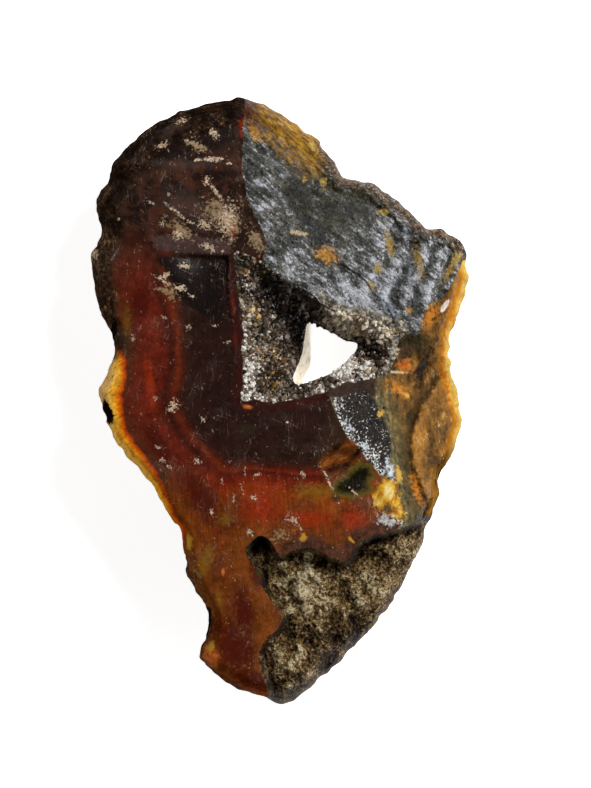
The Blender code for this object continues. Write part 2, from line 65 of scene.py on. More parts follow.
# How many stretches a line has before a search tree finds the nearest one
LONG_LINE = 60
# A point this near a line lies on it, and two points this near each other are one
ON_LINE = 1e-3
WELD = 1e-5
# Keeps a share from dividing by 0
TINY = 1e-9
log = logging.getLogger("agate_nodule")

Point = tuple[float, float]
Array = np.ndarray
Rows = tuple[tuple[float, ...], ...]
Surface = Callable[[Array], Array]
Fields = dict[str, Array]
Socket = bpy.types.NodeSocket
Values = dict[str | int, object]
# Places on a ramp, and the red, green and blue at each
Stops = tuple[tuple[float, int, int, int], ...]


# Curves and fields over the plan of the stone
def spline(points: Sequence[Sequence[float]], step: float, closed: bool) -> Array:
    """A smooth curve through points.

    Args:
        points: the points, x and y first; further columns are carried along.
        step: how far apart the curve's own points are.
        closed: whether the curve ends where it starts.

    Returns:
        The curve's points, without the first one again at the end of a closed curve.
    """
    knots = np.array(points, float)
    share = np.linspace(0, 1, CURVE_STEPS, endpoint=False)[:, None]
    padded = np.pad(knots, ((1, 2 if closed else 1), (0, 0)), "wrap" if closed else "edge")
    a, b, c, d = (padded[i : len(padded) - 3 + i, None] for i in range(4))
    bend = share**2 * (a - 2.5 * b + 2 * c - 0.5 * d) + share**3 * (1.5 * (b - c) + 0.5 * (d - a))
    runs = b + 0.5 * share * (c - a) + bend
    curve = np.concatenate([*runs, knots[:1] if closed else knots[-1:]])
    length = np.concatenate([[0], np.cumsum(np.hypot(*np.diff(curve[:, :2], axis=0).T))])
    places = np.linspace(0, length[-1], max(3, round(length[-1] / step)) + 1)
    resampled = np.stack([np.interp(places, length, column) for column in curve.T], axis=1)
    return resampled[:-1] if closed else resampled


def ring(loop: Array) -> Array:
    """A closed loop as a line that ends where it starts."""
    return np.concatenate([loop, loop[:1]])


def nearest(line: Sequence[Sequence[float]], xy: Array) -> tuple[Array, Array]:
    """How far points are from a line.

    Args:
        line: the line's points, x and y first.
        xy: the points to measure from.

    Returns:
        Each point's distance, and the nearest place on the line with the line's further columns.
    """
    line = np.asarray(line, float)
    count = len(line) - 1
    segments: Iterable[int | Array] = range(count)
    if count > LONG_LINE:
        tree = KDTree(count)
        for i, (x, y) in enumerate(line[:count, :2].tolist()):
            tree.insert((x, y, 0), i)
        tree.balance()
        closest = np.array([tree.find((x, y, 0))[1] for x, y in xy.tolist()], int)
        segments = ((closest - 1) % count, closest)
    best = np.full(len(xy), np.inf)
    places = np.zeros((len(xy), line.shape[1]))
    for segment in segments:
        start, end = line[segment], line[segment + 1]
        along = (end - start)[..., :2]
        share = ((xy - start[..., :2]) * along).sum(axis=1) / (along**2).sum(axis=-1)
        place = start + np.clip(share, 0, 1)[:, None] * (end - start)
        distance = np.hypot(*(xy - place[:, :2]).T)
        closer = distance < best
        best[closer] = distance[closer]
        places[closer] = place[closer]
    return best, places


def from_loop(loop: Array, xy: Array) -> Array:
    """How far points are from a closed loop."""
    return nearest(ring(loop), xy)[0]


def on_loops(xy: Array, z: Array, loops: Iterable[Array]) -> Array:
    """The heights, with that of a point on a loop set to the loop's own."""
    for loop in loops:
        distance, place = nearest(ring(loop), xy)
        z = np.where(distance < ON_LINE, place[:, 2], z)
    return z


def inside(polygon: Sequence[Sequence[float]], xy: Array) -> Array:
    """Which points lie inside a polygon."""
    corners = np.asarray(polygon, float)[:, :2]
    order = np.argsort(xy[:, 1])
    x, y = xy[order].T
    crossed = np.zeros(len(xy), bool)
    for (x0, y0), (x1, y1) in zip(corners, np.roll(corners, -1, axis=0)):
        first, last = np.searchsorted(y, (min(y0, y1), max(y0, y1)))
        slope = (x1 - x0) / (y1 - y0 + (y1 == y0))
        crossed[first:last] ^= x[first:last] < x0 + (y[first:last] - y0) * slope
    found = np.empty(len(xy), bool)
    found[order] = crossed
    return found


def within(polygon: Sequence[Sequence[float]], xy: Array) -> Array:
    """How far points are inside a closed outline, and below 0 how far outside."""
    distance = from_loop(np.asarray(polygon, float), xy)
    return np.where(inside(polygon, xy), distance, -distance)


def smooth(share: Array) -> Array:
    """An ease from 0 to 1."""
    share = np.clip(share, 0, 1)
    return share * share * (3 - 2 * share)


def lumps(xy: Array, size: float, seed: int) -> Array:
    """Smooth lumps about `size` across, from -1 to 1. Each seed gives its own."""
    heights = np.random.default_rng(seed).uniform(-1, 1, (LUMP_GRID, LUMP_GRID))
    cell = np.floor(xy / size).astype(int)
    across, up = smooth(xy / size - cell).T
    x, y = cell.T % LUMP_GRID
    right, above = (x + 1) % LUMP_GRID, (y + 1) % LUMP_GRID
    low = heights[x, y] * (1 - across) + heights[right, y] * across
    high = heights[x, above] * (1 - across) + heights[right, above] * across
    return low * (1 - up) + high * up


def drawn_out(xy: Array, angle: float, times: float) -> Array:
    """The plan, turned and squeezed so that lumps on it are this many times longer along an angle."""
    turn = math.radians(angle)
    along = xy[:, 0] * math.cos(turn) + xy[:, 1] * math.sin(turn)
    return np.column_stack([along / times, xy[:, 1] * math.cos(turn) - xy[:, 0] * math.sin(turn)])


def mound(xy: Array, middle_x: float, middle_y: float, radius: float, height: float) -> Array:
    """A round mound that falls off smoothly."""
    return height * np.exp(-((xy[:, 0] - middle_x) ** 2 + (xy[:, 1] - middle_y) ** 2) / radius**2)


def row_inside(loop: Array, inset: float) -> Array:
    """The points of a clockwise loop moved in by this much, or out where it is negative."""
    along = np.roll(loop[:, :2], -1, axis=0) - np.roll(loop[:, :2], 1, axis=0)
    along /= np.hypot(*along.T)[:, None]
    row = loop[:, :2] + inset * np.stack([along[:, 1], -along[:, 0]], axis=1)
    return row[from_loop(loop, row) > 0.9 * abs(inset)]


def lattice(spacing: float, jitter: float, seed: int) -> Array:
    """The corners of equal triangles over the whole stone, each moved a little."""
    columns = np.arange(round(FIELD_WIDTH / spacing))
    rows = np.arange(round(FIELD_HEIGHT / (spacing * ROW_RATIO)))
    column, row = (grid.ravel() for grid in np.meshgrid(columns, rows))
    corners = np.stack([column + 0.5 * (row % 2), ROW_RATIO * row], axis=1) * spacing
    moves = np.random.default_rng(seed).uniform(-jitter, jitter, corners.shape) * spacing
    return corners + moves - (FIELD_WIDTH / 2, FIELD_HEIGHT / 2)


def clear_of(points: Array, lines: Iterable[Array], distance: float) -> Array:
    """Which points keep this distance from every line."""
    keep = np.ones(len(points), bool)
    for line in lines:
        keep &= nearest(line, points)[0] > distance
    return keep


def triangulate(outer: Array, hole: Array, creases: Iterable[Array], fill: Array) -> tuple[Array, Array]:
    """Triangles between two loops.

    Args:
        outer: the outer loop.
        hole: the loop round the opening.
        creases: lines that the triangles' edges follow.
        fill: further points to join.

    Returns:
        The points that were joined, and the triangles.
    """
    points = []
    edges = []
    for line in (ring(outer), ring(hole), *creases):
        first = len(points)
        points += [Vector((x, y)) for x, y in line[:, :2]]
        edges += [(first + i, first + i + 1) for i in range(len(line) - 1)]
    points += [Vector((x, y)) for x, y in fill]
    made = delaunay_2d_cdt(points, edges, [], 0, WELD)
    xy = np.array([tuple(point) for point in made[0]])
    triangles = np.array(made[2])
    middles = xy[triangles].mean(axis=1)
    return xy, triangles[inside(outer, middles) & ~inside(hole, middles)]


# The form of the stone, in the same sizes as its solids
@dataclass(frozen=True)
class EdgeStretch:
    """A stretch of the outline: its height, the width over which the face rounds to it, its points."""

    height: float
    width: float
    points: tuple[Point, ...]


@dataclass(frozen=True)
class Crease:
    """A crease of the face. Beyond it, on the side of its far corners, the surface tilts down."""

    line: tuple[Point, ...]
    far_corners: tuple[Point, ...]
    slope: float = 0.0
    # Away from the line, its height is evened out over this length
    evened: float = 0.0
    fade: float = 1.0
    spacing: float = 0.4

    @cached_property
    def curve(self) -> Array:
        """The crease's line as a smooth curve."""
        return spline(self.line, self.spacing, False)

    def holds(self, xy: Array) -> Array:
        """Which points lie beyond the crease."""
        return inside(np.concatenate([self.curve, self.far_corners]), xy)

    def beyond(self, xy: Array) -> Array:
        """How far points are beyond the crease, and below 0 how far short of it."""
        distance = nearest(self.curve, xy)[0]
        return np.where(self.holds(xy), distance, -distance)

    def profile(self, surface: Surface) -> Array:
        """The curve, the surface's height along it, and the same height evened out."""
        height = surface(self.curve)
        reach = round(self.evened / self.spacing / 2)
        padded = np.pad(height, reach, mode="reflect", reflect_type="odd")
        evened = np.convolve(padded, np.ones(2 * reach + 1) / (2 * reach + 1), "valid")
        return np.column_stack([self.curve, height, evened])

    def fold(self, surface: Surface) -> Surface:
        """A surface that tilts down beyond the crease, and meets itself there."""

        def height(xy: Array) -> Array:
            """The folded surface's height at each point."""
            z = surface(xy)
            past = self.holds(xy)
            distance, foot = nearest(self.profile(surface), xy[past])
            near = np.exp(-distance / self.fade)
            z[past] = foot[:, 2] * near + foot[:, 3] * (1 - near) - self.slope * distance
            return z

        return height


@dataclass(frozen=True)
class Outline:
    """The stone's outline, clockwise from the top."""

    spacing: float = 0.4
    blend: float = 9.0
    top: EdgeStretch = EdgeStretch(
        12.0,
        2.6,
        ((-6.9, 43.1), (-5.0, 43.2), (-3.8, 42.8), (-1.3, 41.8), (1.4, 40.0), (3.2, 38.7), (5.4, 37.3),
         (6.5, 35.5), (8.1, 33.5), (9.2, 32.0)),
    )
    shoulder: EdgeStretch = EdgeStretch(
        10.5,
        2.0,
        ((11.4, 31.5), (12.8, 31.2), (15.1, 29.8), (17.5, 27.8), (20.0, 25.6), (21.0, 24.7), (22.8, 24.6),
         (24.0, 24.2), (25.8, 22.8)),
    )
    flank: EdgeStretch = EdgeStretch(
        6.8,
        1.3,
        ((26.7, 21.0), (26.5, 19.2), (27.0, 17.5), (26.2, 15.0), (25.5, 12.8), (24.5, 9.9), (24.2, 7.0),
         (24.4, 4.2), (25.1, 1.6), (25.7, -1.2), (26, -3.2), (25.4, -5.5), (24.2, -8.4),
         (22.8, -11.0), (22.8, -13.4)),
    )
    rind: EdgeStretch = EdgeStretch(
        8.0,
        3.0,
        ((22.0, -15.5), (20.8, -18.4), (20.0, -21.2), (18.0, -25.1), (15.7, -29.1), (12.8, -32.8),
         (10.0, -35.4), (8.1, -37.5), (5.4, -39.8), (2.8, -42.2), (0.4, -43.2), (-2.6, -42.1)),
    )
    lobe: EdgeStretch = EdgeStretch(
        12.0,
        2.0,
        ((-5.8, -41.1), (-8.9, -39.2), (-11.0, -37.2), (-11.5, -36.0), (-10.5, -33.5), (-10.0, -32.1),
         (-10.5, -29.7), (-12.2, -26.7), (-13.2, -24.4), (-13.8, -20.5), (-14.3, -18.0)),
    )
    thin: EdgeStretch = EdgeStretch(
        15.0,
        1.3,
        ((-15.2, -17.1), (-17.2, -13.8), (-18.6, -11.4), (-21.3, -8.2), (-23.6, -5.5), (-24.5, -3.2),
         (-25.5, -0.4), (-25.8, 1.6), (-24.8, 3.5), (-23.7, 7.2), (-23.8, 9.0), (-25.0, 11.2)),
    )
    blunt: EdgeStretch = EdgeStretch(
        12.5,
        4.0,
        ((-26.2, 15.2), (-26.7, 18.0), (-27.0, 20.8), (-25.6, 23.9), (-26.1, 27.6), (-25.6, 29.9),
         (-24.4, 31.5), (-23.8, 33.8), (-22.3, 35.8), (-20, 37.9), (-17.2, 39.9), (-13.6, 41.5),
         (-9.8, 42.5)),
    )

    @cached_property
    def loop(self) -> Array:
        """The outline's points with the height and the rounding width there."""
        stretches = (self.top, self.shoulder, self.flank, self.rind, self.lobe, self.thin, self.blunt)
        points = [(x, y, part.height, part.width) for part in stretches for x, y in part.points]
        curve = spline(points, self.spacing, True)
        reach = round(self.blend / self.spacing)
        weights = np.ones(2 * reach + 1) / (2 * reach + 1)
        for column in (2, 3):
            wrapped = np.concatenate([curve[-reach:, column], curve[:, column], curve[:reach, column]])
            curve[:, column] = np.convolve(wrapped, weights, "valid")
        return curve


@dataclass(frozen=True)
class BrokenFace:
    """The broken front of the stone, without its hollow and its rounded edge."""

    top_height: float = 20.5
    dome_middle: float = -8.0
    dome_across: float = 0.0030
    dome_along: float = 0.0012
    upper: Crease = Crease(
        ((-27.0, 35.2), (-22.2, 35.2), (-17.2, 34.5), (-11.5, 33.9), (-5.3, 32.8)),
        ((FAR, 32.8), (FAR, FAR), (-FAR, FAR), (-FAR, 35.2)),
        0.36,
    )
    grey: Crease = Crease(
        ((-5.0, 46.0), (-5.3, 35.9), (-5.4, 32.8), (-4.3, 28.0), (-2.2, 23.0), (-2.6, 19.9)),
        ((5.5, 4.0), (FAR, 4.0), (FAR, FAR), (-5.0, FAR)),
        0.28,
    )
    shoulder: Crease = Crease(
        ((6.8, 1.3), (5.4, -3.5), (5.1, -8.7), (6.4, -11.2), (7.1, -15.0), (8.5, -22.8)),
        ((8.5, -FAR), (FAR, -FAR), (FAR, 14.0), (6.8, 14.0)),
        0.22,
    )
    cliff: Crease = Crease(
        ((6.8, 1.3), (7.8, -1.5), (9.8, -5.5), (11.4, -6.6), (12.8, -8.7), (14.4, -11.0),
         (15.4, -14.5), (17.2, -18.0)),
        ((FAR, -18.0), (FAR, 14.0), (6.8, 14.0)),
        0.62,
    )
    flank: Crease = Crease(
        ((20.7, 25.2), (21.4, 19.9), (21.4, 14.5), (19.7, 10.2), (17.1, 8.8), (15.5, 3.6), (15.0, 1.2),
         (14.9, -1.0), (15.2, -3.2), (16.0, -6.6), (16.9, -11.2), (18.5, -17.5)),
        ((FAR, -17.5), (FAR, FAR), (20.7, FAR)),
        0.72,
        7.0,
    )
    rind_break: Crease = Crease(
        ((-1.5, -46.0), (-1.8, -41.2), (-3.0, -37.0), (-2.5, -34.5), (0.3, -31.2), (-1.9, -27.5),
         (-3.8, -23.7), (-4.8, -21), (-3, -19.1), (-1.4, -19.8), (0, -21.8), (2.1, -21), (4.7, -20.8),
         (7.1, -22.1), (9.6, -22.7), (10.6, -20.9), (12.2, -19.4), (15.4, -18.5),
         (18.5, -17.5), (22.6, -15.6)),
        ((FAR, -15.6), (FAR, -FAR), (-1.5, -FAR)),
    )
    blend_height: float = 8.4
    blend_reach: float = 5.0
    ledge: tuple[Point, ...] = ((-18.2, 21.5), (-12.9, 20.9), (-7.4, 20.7))
    scar_foot: tuple[Point, ...] = ((-7.4, 10.9), (-11.5, 11.6), (-15.0, 14.5), (-18.2, 19.9))
    scar_depth: float = 1.0
    scar_fade: float = 8.0
    ledge_width: float = 0.5
    flutes: tuple[float, ...] = (19.0, 17.5, 7.0)
    flute_depth: float = 0.5
    flute_width: float = 3.1
    flute_lean: float = 0.3
    flute_start: float = 9.8
    rib_depth: float = 0.3
    rib_width: float = 2.7
    grey_lump: float = 0.35
    rind_height: float = 14.4
    rind_fall: float = 0.18
    rind_step: float = 0.9
    rind_lump: float = 0.8
    rind_mounds: Rows = (
        (3.5, -27, 6, 2.4), (1.4, -36.4, 4.2, 1.9), (12.8, -26.4, 3.2, 1.2), (17.5, -20.8, 2.6, 0.9),
    )

    def dome(self, xy: Array) -> Array:
        """The dark face: almost flat, and lowest towards its edges."""
        x, y = xy.T[:2]
        return self.top_height - self.dome_across * (x - self.dome_middle) ** 2 - self.dome_along * y**2

    def in_scar(self, xy: Array) -> Array:
        """How far points are inside the shallow scar under the ledge, and below 0 how far outside."""
        return within((*self.ledge, *self.scar_foot), xy)

    def scarred(self, xy: Array) -> Array:
        """The dark face with its ledge, and the scar that dies out below the ledge."""
        z = self.upper.fold(self.dome)(xy)
        scar = inside((*self.ledge, *self.scar_foot), xy)
        from_ledge = nearest(self.ledge, xy[scar])[0]
        to_foot = nearest(self.scar_foot, xy[scar])[0]
        step = smooth(from_ledge / self.ledge_width)
        step *= smooth((xy[scar, 0] - self.ledge[0][0]) / self.scar_fade)
        z[scar] -= self.scar_depth * step * to_foot / (from_ledge + to_foot)
        return z

    def joined(self, xy: Array) -> Array:
        """The grey plane above the hollow and the cliff below it, blended past the hollow's end."""
        share = smooth((xy[:, 1] - self.blend_height) / self.blend_reach + 0.5)
        cliffed = self.cliff.fold(self.shoulder.fold(self.scarred))
        return cliffed(xy) * (1 - share) + self.grey.fold(self.scarred)(xy) * share

    def fluting(self, xy: Array) -> Array:
        """The flutes at the right of the grey plane, from -1 in a valley to 1 on a ridge."""
        across = xy[:, 0] - self.flute_lean * xy[:, 1] - self.flute_start + 0.4 * lumps(xy, 4.0, 3)
        return mound(xy, *self.flutes, 1.0) * np.sin(2 * math.pi * across / self.flute_width)

    def relief(self, xy: Array) -> Array:
        """Flutes and lumps of the grey plane, and the ribs of the flank."""
        x, y = xy.T
        z = self.flute_depth * self.fluting(xy)
        z += self.grey_lump * smooth(self.grey.beyond(xy) / 2.0) * lumps(xy, 2.8, 4)
        ribs = np.sin(2 * math.pi * (y - 0.5 * x + 0.8 * lumps(xy, 4.0, 3)) / self.rib_width)
        return z + self.rib_depth * smooth(self.flank.beyond(xy) / 2.0) * ribs

    def rind(self, xy: Array) -> Array:
        """The rough rind: lumpy, with mounds and a valley between the two largest."""
        z = self.rind_height - self.rind_fall * (xy[:, 0] - 3.0)
        for place in self.rind_mounds:
            z += mound(xy, *place)
        return z + self.rind_lump * (lumps(xy, 2.8, 1) + 0.6 * lumps(xy, 1.6, 2))

    def height(self, xy: Array) -> Array:
        """The face's height at each point."""
        z = self.flank.fold(self.joined)(xy) + self.relief(xy)
        past = self.rind_break.beyond(xy)
        rough = past > 0
        step = smooth(past[rough] / self.rind_step)
        z[rough] += (np.minimum(self.rind(xy[rough]), z[rough] - 1.0) - z[rough]) * step
        return z


@dataclass(frozen=True)
class Hollow:
    """The hollow: its mouth in the face, and the throat where it opens through the back."""

    face: BrokenFace
    spacing: float = 0.3
    mouth_points: tuple[Point, ...] = (
        (-6.6, 21), (-4.2, 20.8), (-2.6, 19.9), (0, 17.8), (1.7, 16.9), (3.5, 15.9), (5.4, 14.5),
        (7.8, 12.8), (11.4, 12.2), (14.2, 11.3), (17.1, 9.8), (16, 8.8), (15.1, 5.3), (14.2, 3.6),
        (11.7, 3), (8.5, 2.2), (6.8, 1.3), (4.2, 0.5), (0, 0), (-4.3, -0.1), (-5.8, 0.3), (-5.3, 3),
        (-5.5, 7.3), (-5.3, 9.5), (-5.6, 13.8), (-6.3, 17.3),
    )
    # The lip of the throat: x, y and its height, then x and y where its wall meets the back
    throat_points: Rows = (
        (4.1, 11.3, 8, 4.7, 12.4), (6.4, 10.3, 8.5, 7, 12.6), (7.8, 9.6, 9, 9.4, 11.8),
        (9.2, 8.7, 9, 11.6, 10.6), (11, 8.2, 9.5, 13.6, 9), (10.4, 6.6, 10, 13.2, 6.3),
        (8.9, 5.2, 11.5, 11.3, 3.6), (7.1, 3.9, 13, 8.5, 1.3), (4.2, 2.8, 13.5, 4.2, 0.4),
        (2.8, 2.2, 12, 3.1, 1.3), (1.7, 3.2, 8.5, 3.3, 3.2), (2.3, 5, 6, 4.2, 5), (3.1, 7, 4.5, 4.35, 7.2),
        (3.5, 9.6, 5.5, 4.3, 9.9),
    )
    wall_curve: float = 1.5
    throat_curve: float = 0.7
    raggedness: float = 0.24
    # How far off a slope of the wall is measured
    slope_reach: float = 0.3

    @cached_property
    def mouth(self) -> Array:
        """The loop of the mouth, as ragged as broken stone: x, y and the face's height."""
        loop = spline(self.mouth_points, self.spacing, True)
        along = np.roll(loop, -1, axis=0) - np.roll(loop, 1, axis=0)
        along /= np.hypot(*along.T)[:, None]
        moves = self.raggedness * (lumps(loop, 1.2, 71) + 0.6 * lumps(loop, 0.7, 72))
        loop += moves[:, None] * np.stack([along[:, 1], -along[:, 0]], axis=1)
        return np.column_stack([loop, self.face.height(loop)])

    @cached_property
    def throat(self) -> Array:
        """The lip of the hole: x, y and height, then x and y where its wall meets the back."""
        return spline(self.throat_points, self.spacing, True)

    def between(self, xy: Array) -> tuple[Array, Array, Array]:
        """How far points are from the mouth, 0, to the throat, 1, and the nearest place on each."""
        from_mouth, mouth = nearest(ring(self.mouth), xy)
        from_throat, lip = nearest(ring(self.throat), xy)
        return from_mouth / (from_mouth + from_throat + TINY), mouth, lip

    def wall(self, xy: Array) -> Array:
        """The height of the hollow's wall at each point, before any crystal stands on it."""
        share, mouth, lip = self.between(xy)
        return mouth[:, 2] + (lip[:, 2] - mouth[:, 2]) * (1 - (1 - share) ** self.wall_curve)

    def normals(self, xy: Array, steepest: float) -> Array:
        """The wall's unit normals, with its slopes held to the steepest that is given."""
        reach = self.slope_reach
        slopes = []
        for step in ((reach, 0), (0, reach)):
            rise = self.wall(xy + step) - self.wall(xy - np.array(step))
            slopes.append(np.clip(rise / (2 * reach), -steepest, steepest))
        normals = np.column_stack([-slopes[0], -slopes[1], np.ones(len(xy))])
        return normals / np.linalg.norm(normals, axis=1)[:, None]


@dataclass(frozen=True)
class Underside:
    """The unseen back: a shallow lumpy bowl that turns up to the stone's edge."""

    rest_x: float = -4.5
    rest_y: float = 1.0
    bowl_lift: float = 6.0
    bowl_radius: float = 28.0
    rest_cut: float = 0.6
    rest_smooth: float = 18.0
    reach: float = 17.0
    wedge_width: float = 1.3
    blunt_width: float = 4.0
    # How steeply each of the two turns up
    wedge_power: float = 1.7
    blunt_power: float = 0.6
    lump: float = 1.5

    def height(self, outline: Outline, xy: Array) -> Array:
        """The underside's height: it turns up to a thin edge like a wedge, to a wide one like a pebble."""
        distance, rim = nearest(ring(outline.loop), xy)
        from_rest = (xy[:, 0] - self.rest_x) ** 2 + (xy[:, 1] - self.rest_y) ** 2
        bowl = self.bowl_lift * (1 - np.exp(-from_rest / self.bowl_radius**2)) - self.rest_cut
        away = smooth(from_rest / self.rest_smooth**2)
        bowl += self.lump * away * (lumps(xy, 9.0, 5) + 0.5 * lumps(xy, 4.5, 6))
        share = np.clip(distance / self.reach, 0, 1)
        blunt = smooth((rim[:, 3] - self.wedge_width) / (self.blunt_width - self.wedge_width))
        wedge = (1 - share) ** self.wedge_power
        pebble = 1 - (1 - (1 - share) ** 2) ** self.blunt_power
        turn = wedge * (1 - blunt) + pebble * blunt
        return np.maximum(bowl + (rim[:, 2] - bowl) * turn, 0)


# Marks on the face
class Stain(Enum):
    """The kinds of mark on the stone, by the name of the field that holds each. Most are the stone's own
    colour; the hazy one is partly painted sheen, and one maroon blot is painted shadow.
    """

    CREAM = "cream"
    ORANGE = "orange"
    YELLOW = "yellow"
    OCHRE = "ochre"
    OLIVE = "olive"
    PALE = "pale"
    DARK = "dark"
    RED = "red"
    INK = "ink"
    MAROON = "maroon"
    EMBER = "ember"
    HAZE = "haze"
    DUST = "dust"


@dataclass(frozen=True)
class Blot:
    """A long or round mark: its middle, length and width, and the angle that its length is turned by."""

    x: float
    y: float
    length: float
    width: float
    angle: float = 0.0

    def depth(self, xy: Array) -> Array:
        """1 in the middle of the blot, 0 on its edge and less outside."""
        turn = math.radians(self.angle)
        x, y = xy[:, 0] - self.x, xy[:, 1] - self.y
        along = (x * math.cos(turn) + y * math.sin(turn)) / (self.length / 2)
        across = (y * math.cos(turn) - x * math.sin(turn)) / (self.width / 2)
        return 1 - np.hypot(along, across)


